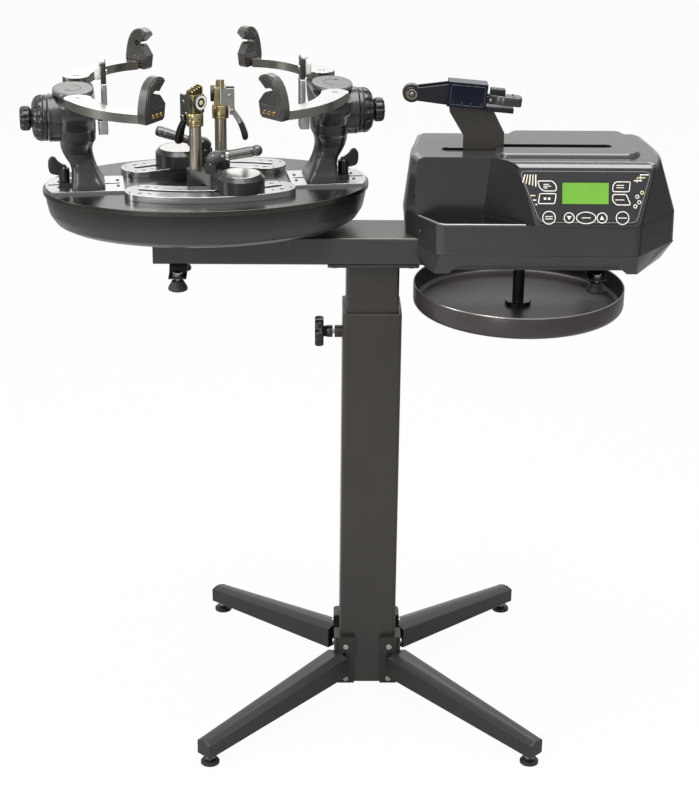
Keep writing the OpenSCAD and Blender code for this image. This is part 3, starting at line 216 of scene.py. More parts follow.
FINISHES = {
    "frame_paint": painted("frame_paint", rgb(53, 50, 46), 0.36, 1500, 0.3, 0.25, 0.07),
    "leg_paint": painted("leg_paint", rgb(36, 35, 33), 0.3, 1500, 0.3, 0.2, 0.07),
    "bench_paint": painted("bench_paint", rgb(64, 62, 59), 0.26, 1400, 0.2, 0.35, 0.06),
    "cover_plastic": painted("cover_plastic", rgb(54, 53, 51), 0.2, 1600, 0.1, 0.4, 0.04, 0, 0.9),
    # a pale plastic for the bead on the trough's lip: painted highlight
    "lip_painted_highlight": painted("lip_painted_highlight", rgb(128, 130, 130), 0.22, 1600, 0.1, 0.4, 0.05),
    # the cover plastic darkened: painted shade on faces the light misses
    "painted_shade_plastic": painted("painted_shade_plastic", rgb(30, 30, 30), 0.24, 1500, 0.15, 0.2),
    # the dish's upper band is darkened to 0.4 of its tone: painted shade under the rim
    "dish_plastic": painted("dish_plastic", rgb(60, 60, 57), 0.26, 1700, 0.08, 0.3, 0.05, 0, 0.4, (0.808, 0.848, 0.4)),
    "tray_paint": painted("tray_paint", rgb(60, 55, 54), 0.3, 1400, 0.2, 0.2),
    # the tray's paint darkened for its inside: painted shade
    "tray_painted_shade": painted("tray_painted_shade", rgb(50, 45, 44), 0.36, 1400, 0.2, 0.1),
    "rim_bright": brushed("rim_bright", rgb(150, 148, 144), 0.25, (20, 20, 20)),
    "cast_dark": painted("cast_dark", rgb(50, 51, 51), 0.24, 1100, 0.12, 0.4, 0.06),
    "pad_side": painted("pad_side", rgb(36, 37, 36), 0.3, 900, 0.2, 0.25, 0.08),
    "disc_silver": brushed("disc_silver", rgb(196, 194, 188), 0.2, (30, 30, 30)),
    "cap_plastic": painted("cap_plastic", rgb(80, 81, 79), 0.26, 1500, 0.08, 0.35, 0.05),
    "hook_dark": painted("hook_dark", rgb(70, 69, 66), 0.26, 1100, 0.12, 0.45, 0.07),
    "black_plastic": painted("black_plastic", rgb(24, 24, 23), 0.3, 1500, 0.2),
    "knob_black": painted("knob_black", rgb(28, 28, 26), 0.24, 1500, 0.12, 0.15, 0.06),
    "rubber": painted("rubber", rgb(32, 31, 30), 0.55, 900, 0.4),
    "deck_gloss": brushed("deck_gloss", rgb(74, 74, 70), 0.22, (2, 14, 14), 0.05, 0.06),
    "plate_silver": brushed("plate_silver", rgb(190, 192, 191), 0.24, (14, 2, 14)),
    "bar_silver": brushed("bar_silver", rgb(166, 168, 167), 0.24, (2, 14, 14)),
    "arm_silver": brushed("arm_silver", rgb(222, 222, 219), 0.2, (8, 8, 14)),
    "arm_side": brushed("arm_side", rgb(146, 145, 138), 0.24, (8, 8, 14)),
    "support_grey": brushed("support_grey", rgb(156, 161, 156), 0.32, (14, 14, 3)),
    "bright_steel": brushed("bright_steel", rgb(156, 154, 149), 0.18, (10, 10, 10)),
    "screw_dark": brushed("screw_dark", rgb(74, 74, 72), 0.24, (10, 10, 10)),
    "post_nickel": brushed("post_nickel", rgb(160, 154, 140), 0.28, (14, 14, 1)),
    "clamp_brass": brushed("clamp_brass", rgb(146, 133, 98), 0.26, (10, 10, 10), 0.1, 0.12),
    "brass": brushed("brass", rgb(176, 146, 92), 0.22, (10, 10, 10)),
    "lever_grey": painted("lever_grey", rgb(66, 66, 64), 0.22, 900, 0.1, 0.5, 0.06),
    "bracket_grey": brushed("bracket_grey", rgb(146, 146, 141), 0.28, (10, 10, 10)),
    "casing_blue": brushed("casing_blue", rgb(52, 57, 72), 0.18, (2, 14, 14)),
    # a pale metal for lines round the casing's sides: painted highlight on its edges
    "casing_painted_highlight": brushed("casing_painted_highlight", rgb(120, 124, 132), 0.2, (2, 14, 14)),
    "nose_dark": painted("nose_dark", rgb(36, 37, 41), 0.22, 900, 0.1, 0.4, 0.06),
    "roller_grey": painted("roller_grey", rgb(52, 51, 47), 0.3, 900, 0.1, 0.3, 0.06),
    "roller_face": brushed("roller_face", rgb(150, 146, 128), 0.26, (10, 10, 10)),
    "blade_grey": painted("blade_grey", rgb(64, 61, 57), 0.28, 1300, 0.12, 0.35, 0.05),
    "nylon_pale": painted("nylon_pale", rgb(200, 199, 192), 0.38, 900, 0.1, 0, 0.04),
    "panel_gloss": painted("panel_gloss", rgb(22, 21, 24), 0.12, 2000, 0.02, 0, 0.05, 0.4),
    "print_white": painted("print_white", rgb(226, 224, 216), 0.4, 1500, 0.05, 0, 0.03),
    "print_cream": painted("print_cream", rgb(214, 200, 162), 0.4, 1500, 0.05, 0, 0.03),
    "print_grey": painted("print_grey", rgb(140, 138, 136), 0.4, 1500, 0.05, 0, 0.03),
    "key_grey": painted("key_grey", rgb(34, 33, 36), 0.2, 1500, 0.05, 0, 0.05),
    "display_frame": painted("display_frame", rgb(16, 22, 14), 0.2, 1500, 0.05, 0, 0.05),
}


def display():
    """The backlit window: a green glow in soft patches with faint rows, under gloss."""
    f = Finish("display_green")
    glow = f.noise(24.0, 2.0)
    rows = f.noise(1.0, 1.0, 0.5, f.stretched(40, 0, 900))
    f.put(Base_Color=f.mix(glow * 0.7 + rows * 0.3, rgb(82, 138, 34), rgb(110, 164, 56)), Roughness=0.2)
    f.put(Emission_Color=f.mix(glow, rgb(90, 150, 36), rgb(116, 176, 58)), Emission_Strength=0.12)
    return f


FINISHES["display_green"] = display()


# ---------------------------------------------------------------- mesh work
def quads(rows, cols, around, ring=False):
    """Quads of a grid of rows x cols points; around joins the last column to the first, ring the rows."""
    r = np.arange(rows if ring else rows - 1)
    c = np.arange(cols if around else cols - 1)
    r, c = np.meshgrid(r, c, indexing="ij")
    r1, c1 = (r + 1) % rows, (c + 1) % cols
    return np.stack([r * cols + c, r * cols + c1, r1 * cols + c1, r1 * cols + c], -1).reshape(-1, 4)


def loft(points, caps=True, ring=False):
    """Closed sections, points[section, corner, xyz], joined in order and closed at both ends by flat caps."""
    points = np.asarray(points, float)
    rows, cols = points.shape[:2]
    faces = quads(rows, cols, True, ring).tolist()
    if caps and not ring:
        faces += [list(range(cols))[::-1], list(range((rows - 1) * cols, rows * cols))]
    return points.reshape(-1, 3), faces


def turned(profile, steps=72, wave=None):
    """A profile of (radius, height) spun about Z. wave(angle, height) scales the radius, for flutes. A profile that
    stays off the axis at both ends is closed into a ring."""
    profile = np.asarray(profile, float)
    a = np.linspace(0, 2 * math.pi, steps, endpoint=False)
    r = np.maximum(profile[:, :1], 0.02) * np.ones((1, steps))
    if wave:
        r = r * wave(a[None, :], profile[:, 1:])
    z = profile[:, 1:] * np.ones((1, steps))
    hollow = len(profile) > 3 and profile[0, 0] > 0.5 and profile[-1, 0] > 0.5
    return loft(np.stack([r * np.cos(a), r * np.sin(a), z], -1), ring=hollow)


def slab(outline, low, high):
    """A flat outline, points (x, y) in order, carried straight up from low to high."""
    outline = np.asarray(outline, float)
    lower = np.column_stack([outline, np.full(len(outline), low)])
    upper = np.column_stack([outline, np.full(len(outline), high)])
    return loft([lower, upper])


def block(x0, x1, y0, y1, z0, z1):
    return slab([(x0, y0), (x1, y0), (x1, y1), (x0, y1)], z0, z1)


def arc(centre, radius, start, end, count):
    a = np.radians(np.linspace(start, end, count))
    return np.column_stack([centre[0] + radius * np.cos(a), centre[1] + radius * np.sin(a)])


def rounded(outline, radius, count=5):
    """An outline whose corners are cut by arcs: each corner becomes a curve of Bezier points."""
    outline = np.asarray(outline, float)
    made = []
    t = np.linspace(0, 1, count)[:, None]
    for i, p in enumerate(outline):
        before, after = outline[i - 1] - p, outline[(i + 1) % len(outline)] - p
        cut = min(radius, 0.48 * np.hypot(*before), 0.48 * np.hypot(*after))
        a = p + before / np.hypot(*before) * cut
        b = p + after / np.hypot(*after) * cut
        made.append((1 - t) ** 2 * a + 2 * t * (1 - t) * p + t**2 * b)
    return np.vstack(made)


def tube_along(path, radius, steps=12, flat=1.0):
    """A round rod along a path of points: circles set square to the path, with its radius at each point."""
    path = np.asarray(path, float)
    radius = np.ones(len(path)) * radius
    ahead = np.gradient(path, axis=0)
    ahead /= np.linalg.norm(ahead, axis=1)[:, None]
    up = np.array([0, 0, 1.0]) if abs(ahead[:, 2]).max() < 0.9 else np.array([0, 1.0, 0])
    side = np.cross(ahead, up)
    side /= np.linalg.norm(side, axis=1)[:, None]
    up = np.cross(side, ahead)
    a = np.linspace(0, 2 * math.pi, steps, endpoint=False)[None, :, None]
    ring = side[:, None] * np.cos(a) + up[:, None] * np.sin(a) * flat
    return loft(path[:, None] + ring * radius[:, None, None])


def dome(radius, height, low=0.0, count=5):
    """The rim of a turned end: a quarter round from the side at low up to the flat top."""
    a = np.linspace(0, math.pi / 2, count)
    return np.column_stack([radius - height * (1 - np.cos(a)), low + height * np.sin(a)])


class Piece:
    """One visible piece: chunks of mesh in millimetres, each with its own finish."""

    def __init__(self, name, at=None):
        self.name = name
        self.at = np.eye(4) if at is None else at
        self.points, self.faces, self.marks, self.finishes = [], [], [], []

    def add(self, shape, finish, at=None):
        points, faces = shape
        place = self.at if at is None else self.at @ at
        start = sum(len(p) for p in self.points)
        if finish not in self.finishes:
            self.finishes.append(finish)
        flip = np.linalg.det(place[:3, :3]) < 0
        self.points.append(np.asarray(points) @ place[:3, :3].T + place[:3, 3])
        self.faces += [[i + start for i in (f[::-1] if flip else f)] for f in faces]
        self.marks += [self.finishes.index(finish)] * len(faces)
        return self

    def tone(self, finish, pick):
        """Gives the faces of the last shape another finish where pick(centres, normals) holds, both in the piece's
        own millimetres. A face's normal is the sum of the cross products of its corners, made one long."""
        points = np.vstack(self.points)
        first = sum(len(p) for p in self.points[:-1])
        back = np.linalg.inv(self.at)
        if finish not in self.finishes:
            self.finishes.append(finish)
        chosen = [i for i, f in enumerate(self.faces) if min(f) >= first]
        corners = [points[self.faces[i]] @ back[:3, :3].T + back[:3, 3] for i in chosen]
        normals = np.array([np.cross(c - c[0], np.roll(c, -1, 0) - c[0]).sum(0) for c in corners])
        normals /= np.linalg.norm(normals, axis=1)[:, None] + 1e-12
        for i, yes in zip(chosen, pick(np.array([c.mean(0) for c in corners]), normals)):
            if yes:
                self.marks[i] = self.finishes.index(finish)
        return self

    def cad(self, node, finish, other=None, pick=None):
        """A copy of a CAD node's own mesh, with its doubles merged and its flat faces joined. Where pick holds for
        a face, it takes the other finish."""
        data = frame["nodes"][node].data.copy()
        work = bmesh.new()
        work.from_mesh(data)
        bmesh.ops.remove_doubles(work, verts=work.verts, dist=2e-6)
        bmesh.ops.dissolve_limit(
            work, angle_limit=math.radians(0.4), verts=work.verts, edges=work.edges, delimit=set()
        )
        work.to_mesh(data)
        work.free()
        points = np.empty(len(data.vertices) * 3)
        data.vertices.foreach_get("co", points)
        back = np.linalg.inv(self.at)
        points = points.reshape(-1, 3) / MM @ back[:3, :3].T + back[:3, 3]
        faces = [list(p.vertices) for p in data.polygons]
        bpy.data.meshes.remove(data)
        self.add((points, faces), finish)
        return self.tone(other, pick) if pick else self

    def done(self, body, replaces=(), bevel=0.0, steps=3, angle=32, smooth=True):
        mesh = bpy.data.meshes.new(self.name)
        mesh.from_pydata((np.vstack(self.points) * MM).tolist(), [], self.faces)
        mesh.polygons.foreach_set("material_index", self.marks)
        mesh.polygons.foreach_set("use_smooth", [smooth] * len(self.faces))
        for f in self.finishes:
            mesh.materials.append(FINISHES[f].material)
        mesh.update()
        made = bpy.data.objects.new(self.name, mesh)
        bpy.context.scene.collection.objects.link(made)
        if bevel:
            edge = made.modifiers.new("edges", "BEVEL")
            edge.width, edge.segments, edge.limit_method = bevel * MM, steps, "ANGLE"
            edge.angle_limit, edge.use_clamp_overlap = math.radians(angle), True
            even = made.modifiers.new("shading", "WEIGHTED_NORMAL")
            even.keep_sharp = False
        else:
            mesh.set_sharp_from_angle(angle=math.radians(angle))
        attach(made, body)
        if replaces:
            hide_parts(*([replaces] if isinstance(replaces, str) else replaces))
        return made


BODIES = {n: b for b, names in frame["record"]["behaviour"]["bodies"].items() for n in names}


def dress(node, finish, bevel=0.8, steps=3, angle=32):
    """A CAD node's own shape with softened edges and a finish."""
    piece = Piece(node + "_body")
    piece.cad(node, finish)
    return piece.done(BODIES[node], node, bevel, steps, angle)


# ---------------------------------------------------------------- helpers for carved and printed pieces
def carved(base, joins=(), cuts=(), bevel=0.0, steps=4, angle=28):
    """A closed shape with others joined to it and cut out of it, then its edges rounded."""
    held = []
    for points, faces in [base, *joins, *cuts]:
        mesh = bpy.data.meshes.new("work")
        mesh.from_pydata(np.asarray(points).tolist(), [], faces)
        held.append(bpy.data.objects.new("work", mesh))
        bpy.context.scene.collection.objects.link(held[-1])
    main = held[0]
    for i, other in enumerate(held[1:]):
        made = main.modifiers.new("join", "BOOLEAN")
        made.operation = "UNION" if i < len(joins) else "DIFFERENCE"
        made.object, made.solver = other, "EXACT"
    if bevel:
        edge = main.modifiers.new("edges", "BEVEL")
        edge.width, edge.segments, edge.limit_method = bevel, steps, "ANGLE"
        edge.angle_limit = math.radians(angle)
    data = main.evaluated_get(bpy.context.evaluated_depsgraph_get()).to_mesh()
    points = np.empty(len(data.vertices) * 3)
    data.vertices.foreach_get("co", points)
    faces = [list(p.vertices) for p in data.polygons]
    for o in held:
        bpy.data.meshes.remove(o.data)
    return points.reshape(-1, 3), faces


def moved(shape, place):
    points, faces = shape
    return np.asarray(points) @ place[:3, :3].T + place[:3, 3], faces


def stroke(path, width, low, high, closed=True):
    """A line of even width along a flat path, raised from low to high: each point goes both ways along its normal."""
    path = np.asarray(path, float)
    if closed:
        ahead = np.roll(path, -1, 0) - np.roll(path, 1, 0)
    else:
        ahead = np.gradient(path, axis=0)
    side = np.column_stack([-ahead[:, 1], ahead[:, 0]])
    side /= np.linalg.norm(side, axis=1)[:, None] + 1e-9
    a, b = path + side * width / 2, path - side * width / 2
    corners = [(a, low), (b, low), (b, high), (a, high)]
    ring = np.stack([np.column_stack([p, np.full(len(p), z)]) for p, z in corners], 1)
    return loft(ring[::-1], caps=not closed, ring=closed)


def eased(knots, at, soft=3.0):
    """Straight lines through knots (position, value, value...), read at the given positions and blurred."""
    knots = np.asarray(knots, float)
    fine = np.linspace(knots[0, 0] - 4 * soft, knots[-1, 0] + 4 * soft, 800)
    step = fine[1] - fine[0]
    w = np.exp(-0.5 * (np.arange(-3 * soft, 3 * soft + step, step) / soft) ** 2)
    w /= w.sum()
    read = []
    for k in range(1, knots.shape[1]):
        line = np.interp(fine, knots[:, 0], knots[:, k])
        pad = len(w) // 2
        line = np.convolve(np.pad(line, pad, "edge"), w, "same")[pad:-pad]
        read.append(np.interp(at, fine, line))
    return read


def grown(outline, by):
    """A closed outline moved outwards by an even distance along its normals."""
    outline = np.asarray(outline, float)
    ahead = np.roll(outline, -1, 0) - np.roll(outline, 1, 0)
    side = np.column_stack([ahead[:, 1], -ahead[:, 0]])
    return outline + by * side / (np.linalg.norm(side, axis=1)[:, None] + 1e-9)


def super_ring(cx, cy, half_x, half_y, power, count=64):
    """A closed curve between an ellipse (power 2) and a rectangle (high power)."""
    a = np.linspace(0, 2 * math.pi, count, endpoint=False)
    c, s = np.cos(a), np.sin(a)
    e = 2 / power
    return np.column_stack([cx + half_x * np.sign(c) * np.abs(c) ** e, cy + half_y * np.sign(s) * np.abs(s) ** e])


def screw_head(radius, height, socket="hex"):
    """A low round screw head with a rounded rim and a sunk socket."""
    r, h = radius, height
    depth = min(h * 0.6, 1.4)
    well = r * 0.5
    profile = [(r, 0), (r, h * 0.7), (r * 0.9, h), (well, h), (well * 0.96, h - depth), (0.02, h - depth)]
    return turned(profile, 24)


# ---------------------------------------------------------------- stand
def stand_details():
    """Painted tubes, legs with their brackets, cap screws, end caps and levelling feet."""
    dress("outer_column", "frame_paint", 0.8)
    dress("column_sleeve", "black_plastic", 0.5)
    dress("legs", "leg_paint", 0.8, 2, 50)
    dress("inner_column", "frame_paint", 0.8)
    dress("leg_screws", "bright_steel", 0.6, 3)
    feet = Piece("end_caps_and_feet", COLUMN)
    feet.cad("leg_end_feet", "rubber")
    for angle in (45, 135, 225, 315):
        at = turn("Z", angle) @ shift(350)
        rim = [(0.02, 6.4), (9, 6.4), (11.5, 5.2), (13.6, 4.4), (14.3, 3.2), (14.3, 1.0), (13.6, 0.1), (0.02, 0.1)]
        feet.add(turned(rim[::-1], 40), "black_plastic", at)
        feet.add(turned([(7.2, 7), (7.2, 12), (6.6, 13)], 6), "bright_steel", at)
    feet.done(BODIES["leg_end_feet"], "leg_end_feet", 0.4, 2)


def lock_knob():
    """A six-lobed star knob: a turned head whose radius waves round its axis, with a stepped neck and its screw."""
    piece = Piece("lock_knob", COLUMN @ shift(-60, 0, 621) @ turn("Y", -90))
    depth = np.linspace(14, 27.4, 18)
    bulge = 24 - 2.2 * (np.abs(depth - 20.7) / 6.7) ** 3
    profile = np.column_stack([bulge, depth])
    profile = np.vstack([[(8, 14)], profile, [(17, 27.5), (16, 26.6), (9, 26.4), (8, 27.2), (0.02, 27.3)]])
    lobes = lambda a, z: 1 - 0.17 * (0.5 + 0.5 * np.cos(6 * a)) ** 1.6
    piece.add(turned(profile, 144, lobes), "knob_black")
    piece.add(turned([(0.02, 0), (9.5, 0), (9.5, 8), (9, 9), (8.2, 14.5)], 48), "knob_black")
    piece.add(turned([(3.95, -19.6), (3.95, 0.5)], 32), "bright_steel")
    piece.done(BODIES["height_lock_knob"], "height_lock_knob")


# ---------------------------------------------------------------- bench
def bench_details():
    dress("beam", "bench_paint", 0.9)
    dress("bench_bolts", "bright_steel", 0.5, 2)
    dress("turntable_spindle", "bright_steel", 0.8, 2)
    feet = Piece("bumper_feet", COLUMN)
    for x in (-294, 337):
        for s in (1, -1):
            half = [(0, 0), (0, -3), (25, -3), (35, -19), (60, -19), (60, -16), (37, -16), (27, 0)]
            outline = np.array(half, float) * (s, 1)
            points, faces = slab(outline if s > 0 else outline[::-1], -13.5, 13.5)
            placed = np.column_stack([points[:, 2], points[:, 0], points[:, 1]])
            feet.add((placed, faces), "black_plastic", shift(x, 0, 743.4))
        for y in (-48, 48):
            at = shift(x, y, 743.6 - 19)
            cone = [(0.02, -20.8), (12.6, -20.8), (14.2, -20), (14.9, -18.6), (14.6, -16.4), (13.4, -13.5),
                    (11.0, -9.6), (10.2, -8.4), (9.6, -6.6), (8.8, -6.1), (0.02, -6.1)]
            feet.add(turned(cone, 56), "rubber", at)
            feet.add(turned([(3.9, -7), (3.9, 8)], 24), "bright_steel", at)
            feet.add(turned([(7, 3.1), (7.3, 3.5), (7.3, 7.4), (6.8, 7.9), (0.02, 7.9)], 6), "bright_steel", at)
            feet.add(turned([(8.5, 2.9), (8.5, 3.4)], 32), "bright_steel", at)
    feet.done(BODIES["table_feet"], "table_feet", 0.4, 2)


def tray():
    """The round pan spun from one thin wall profile, with a bright rolled rim and a post on a flange."""
    piece = Piece("round_tray", COLUMN @ shift(225))
    a = np.radians(np.linspace(270, 360, 9))
    outer = np.column_stack([151.7 + 10 * np.cos(a), 676 + 10 * np.sin(a)])
    inner = np.column_stack([151.7 + 8 * np.cos(a), 676 + 8 * np.sin(a)])
    rim = [(161.7, 699.6), (161.4, 700.6), (160.7, 701), (160.0, 700.6), (159.7, 699.6)]
    piece.add(turned([(0.02, 666), *outer, *rim, *inner[::-1], (0.02, 668)], 144), "tray_paint")
    # the inside floor and walls take the darker paint: painted shade
    piece.tone("tray_painted_shade", lambda c, n: (n[:, 2] > 0.5) & (c[:, 2] < 672) | (n[:, 0] * c[:, 0] + n[:, 1] * c[:, 1] < -10))
    lip = [(161.68, 699.3), (161.68, 700.2), (161.1, 700.95), (160.3, 700.95), (159.8, 700.3), (159.8, 699.3)]
    piece.add(turned(lip, 144), "rim_bright")
    piece.add(turned([(9, 669), (9, 743.5)], 48), "black_plastic")
    piece.add(turned([(20, 667.9), (20, 673), (19, 674), (9, 674)], 64), "black_plastic")
    piece.add(turned([(0.02, 658), (6.6, 658), (7, 658.5), (7, 665.9)], 6), "bright_steel")
    piece.add(turned([(9, 662.2), (9, 666)], 48), "bright_steel")
    piece.done(BODIES["tool_tray"], "tool_tray", angle=40)


def dish():
    """The turntable's bowl: ovals that widen quickly from the foot and then stand nearly upright, with a rolled rim."""
    piece = Piece("bowl", TABLE)
    knots = np.array([(0, 0.66), (0.006, 0.72), (0.03, 0.785), (0.1, 0.86), (0.24, 0.925), (0.5, 0.965), (0.8, 0.98), (1, 0.985)])
    t = np.linspace(0, 1, 40) ** 1.6
    share = np.interp(t, knots[:, 0], knots[:, 1])
    for _ in range(2):
        share[1:-1] = (share[:-2] + 2 * share[1:-1] + share[2:]) / 4
    a = np.linspace(0, 2 * math.pi, 160, endpoint=False)
    z = DISH_Z + t * 57.2

    def ovals(shares, inset, heights):
        x = (244 * shares[:, None] - inset) * np.cos(a)
        y = (149 * shares[:, None] - inset) * np.sin(a)
        return np.stack([x, y, heights[:, None] * np.ones_like(x)], -1)

    outer = ovals(share, 0.0, z)
    lip = ovals(np.array([0.985, 0.985]), 1.2, np.array([848.6, 848.7]))
    inner = ovals(share[::-1], 3.2, np.maximum(z[::-1], DISH_Z + 3.2))
    piece.add(loft(np.concatenate([outer, lip, inner])), "dish_plastic")
    piece.add(turned([(25.06, 792), (35, 792), (35, 848), (25.06, 848), (25.06, 792)], 64), "dish_plastic")
    piece.done(BODIES["turntable_dish"], "turntable_dish", angle=50)


def deck_details():
    dress("deck_plate", "deck_gloss", 1.4, 4)
    dress("tower_slides", "plate_silver", 0.9, 3)
    dress("glide_bars", "bar_silver", 1.6, 4)
    piece = Piece("plate_screws", TABLE)
    for half in (0, 180):
        spin = turn("Z", half)
        for a in (-21.3, 21.3):
            for dr in (-17, 17):
                for side in (-3.4, 3.4):
                    at = spin @ shift(0, SLOT_R - 80, BAR_TOP - 0.65) @ turn("Z", a + side * 0.9) @ shift(0, -SLOT_R + dr)
                    piece.add(screw_head(2.0, 0.9), "screw_dark", at)
        for x in (133, 220):
            for y in (-15, 15):
                piece.add(screw_head(2.4, 1.3), "screw_dark", spin @ shift(x, y, SLIDE_TOP - 0.2))
        piece.add(screw_head(2.8, 1.1), "screw_dark", spin @ shift(0, -103, BAR_TOP - 0.85))
    piece.done(BODIES["deck_screws"], "deck_screws")


# ---------------------------------------------------------------- towers
TOWER_KNOTS = [
    # height, inner x, outer x, half width, squareness
    (0.3, -42, 8, 38, 7), (4, -41.5, 7.8, 37.6, 7), (9, -38.5, 7.2, 35.5, 6), (16, -35, 6.8, 31, 5), (24, -31.5, 6.8, 27.5, 4),
    (34, -28.5, 9, 24.6, 3.2), (43, -26.2, 15, 23.8, 3), (52, -24.8, 19.5, 25, 3), (60, -25.5, 21.6, 28.5, 3),
    (69.5, -28.5, 22, 33.5, 3.4), (70.5, -30.5, 22, 35.5, 3.6), (90, -31, 22, 44, 4), (104, -31, 22, 62, 4.5),
    (112, -31, 22, 79, 5), (120, -31, 22, 85.5, 5.5), (133.4, -31, 22, 86, 6)]


def tower_piece(side):
    """A cast pillar: superellipse sections that waist in above the foot and spread into the yoke, with a turned
    knob housing, a flanged cap and its curved groove."""
    piece = Piece(side + "_pillar", TOWERS[side])
    z = np.concatenate([np.linspace(0.3, 68.5, 44), np.linspace(69.2, 71.6, 6), np.linspace(73, 133.4, 34)])
    low, high, half, power = eased(TOWER_KNOTS, z, 1.6)
    rings = []
    for zi, a, b, h, p in zip(z, low, high, half, power):
        ring = super_ring((a + b) / 2, 0, (b - a) / 2, h, p, 88)
        rings.append(np.column_stack([ring, np.full(len(ring), zi)]))
    top = rings[-1].copy()
    top[:, :2] = (top[:, :2] - top[:, :2].mean(0)) * 0.975 + top[:, :2].mean(0)
    top[:, 2] = 133.65
    piece.add(loft(rings + [top]), "cast_dark")
    hub = [(0.02, 0), (34, 0), (35, 1), (35, 20), (34.6, 22), (34.9, 22.6), (34.9, 26.5), (33.8, 27.6), (0.02, 27.7)]
    piece.add(turned(hub, 96), "cast_dark", shift(10, 0, HUB_Z) @ ALONG_X)
    neck = [super_ring(0, 0, w, d, 2.2, 88) for w, d in ((25, 30), (25, 30), (27, 38))]
    piece.add(loft([np.column_stack([r, np.full(88, h)]) for r, h in zip(neck, (131, 137, 138.6))]), "cast_dark")
    cap = []
    for grow, height in ((-1.2, 138.4), (-0.2, 138.9), (0, 139.8), (0, 143.4), (-0.5, 144.5), (-1.6, 145.1), (-3.2, 145.35), (-6, 145.4)):
        cap.append(np.column_stack([super_ring(0, 0, 30 + grow, 43 + grow, 2.15, 96), np.full(96, height)]))
    piece.add(loft(cap), "cap_plastic")
    groove = np.column_stack([arc((0, 0), 15, 40, 275, 40)[:, 0] * 0.8, arc((0, 0), 17, 40, 275, 40)[:, 1]])
    piece.add(stroke(groove, 2.0, 145.3, 145.6, closed=False), "black_plastic")
    tip = groove[0]
    piece.add(slab(tip + np.array([(-4.5, 4.2), (0.6, -0.6), (3.2, 6.2)]), 145.3, 145.6), "black_plastic")
    for y in (-72, 72):
        pin = [(5, 131.5), (5, 146.0), (4.4, 147), (2.2, 147.05), (2.0, 146.2), (0.02, 146.2)]
        piece.add(turned(pin, 40), "bright_steel", shift(-6, y))
    piece.add(turned([(7, 36.5), (7, 58)], 48), "bright_steel", shift(0, 0, HUB_Z) @ ALONG_X)
    piece.add(block(-30, 6, -2.95, 2.95, -7, 3), "bright_steel")
    piece.add(block(8, 26, -12, 12, 0.3, 5.3), "cast_dark")
    piece.add(turned([(4, 1), (4, 26), (3.4, 27), (0.02, 27)], 32), "bright_steel", shift(18))
    piece.done(BODIES[side + "_tower"], side + "_tower", angle=44)


def knob_profile(knots, count):
    knots = np.asarray(knots, float)
    length = np.concatenate([[0], np.cumsum(np.hypot(*np.diff(knots, axis=0).T))])
    at = np.linspace(0, length[-1], count)
    return np.column_stack([np.interp(at, length, knots[:, k]) for k in (0, 1)])


def knobs(side):
    """Two fluted knobs on one axis: the radius drops in lens-shaped grooves that widen towards the domed end."""
    big = Piece(side + "_large_knob", TOWERS[side] @ shift(38, 0, HUB_Z) @ ALONG_X)
    shape = [(7.06, 0), (32.6, 0), (33.75, 1), (33.75, 6.0), (32.9, 6.5), (32.9, 7.1), (33.75, 7.6), (33.7, 10), (33.2, 13),
             (31.8, 16), (29.4, 18.8), (26, 21), (22, 22.5), (19, 23), (7.06, 23)]

    def flutes(a, z):
        reach = np.clip((z - 8.0) / 3.0, 0, 1)
        fade = np.clip((23.5 - z) / 4.5, 0, 1)
        groove = np.clip(np.cos(14 * a) * 1.5 + 0.25 - (1 - reach) * 1.4, 0, 1)
        return 1 - 0.085 * reach * fade * groove

    big.add(turned(knob_profile(shape, 64), 280, flutes), "knob_black")
    big.done(BODIES[side + "_arm_knob"], side + "_arm_knob", angle=60)
    small = Piece(side + "_small_knob", TOWERS[side] @ shift(61.4, 0, HUB_Z) @ ALONG_X)
    shape = [(0.02, 0), (13.5, 0), (14, 1.2), (15.6, 2), (17.6, 3.4), (18, 5), (18, 11.4), (17.4, 14), (15.8, 16), (13.6, 17),
             (8, 17), (7, 16.2), (0.02, 16.2)]
    ribs = lambda a, z: 1 - 0.15 * np.clip(np.cos(10 * a), 0, 1) ** 1.5 * np.clip((z - 2.2) / 2.4, 0, 1)
    small.add(turned(knob_profile(shape, 48), 200, ribs), "knob_black")
    small.add(turned([(3, -27.6), (3, 1)], 24), "bright_steel")
    small.done(BODIES[side + "_support_knob"], side + "_support_knob", angle=60)


HOOK_EDGE = np.array([(-2.4, 3), (-4, 10.5), (-3.5, 19.5), (-1.3, 30.5), (1, 38.5), (5, 47), (9.5, 53.5), (15.3, 58.5), (22, 61.4),
                      (29, 62.4), (35, 61.4), (41, 58.4)])


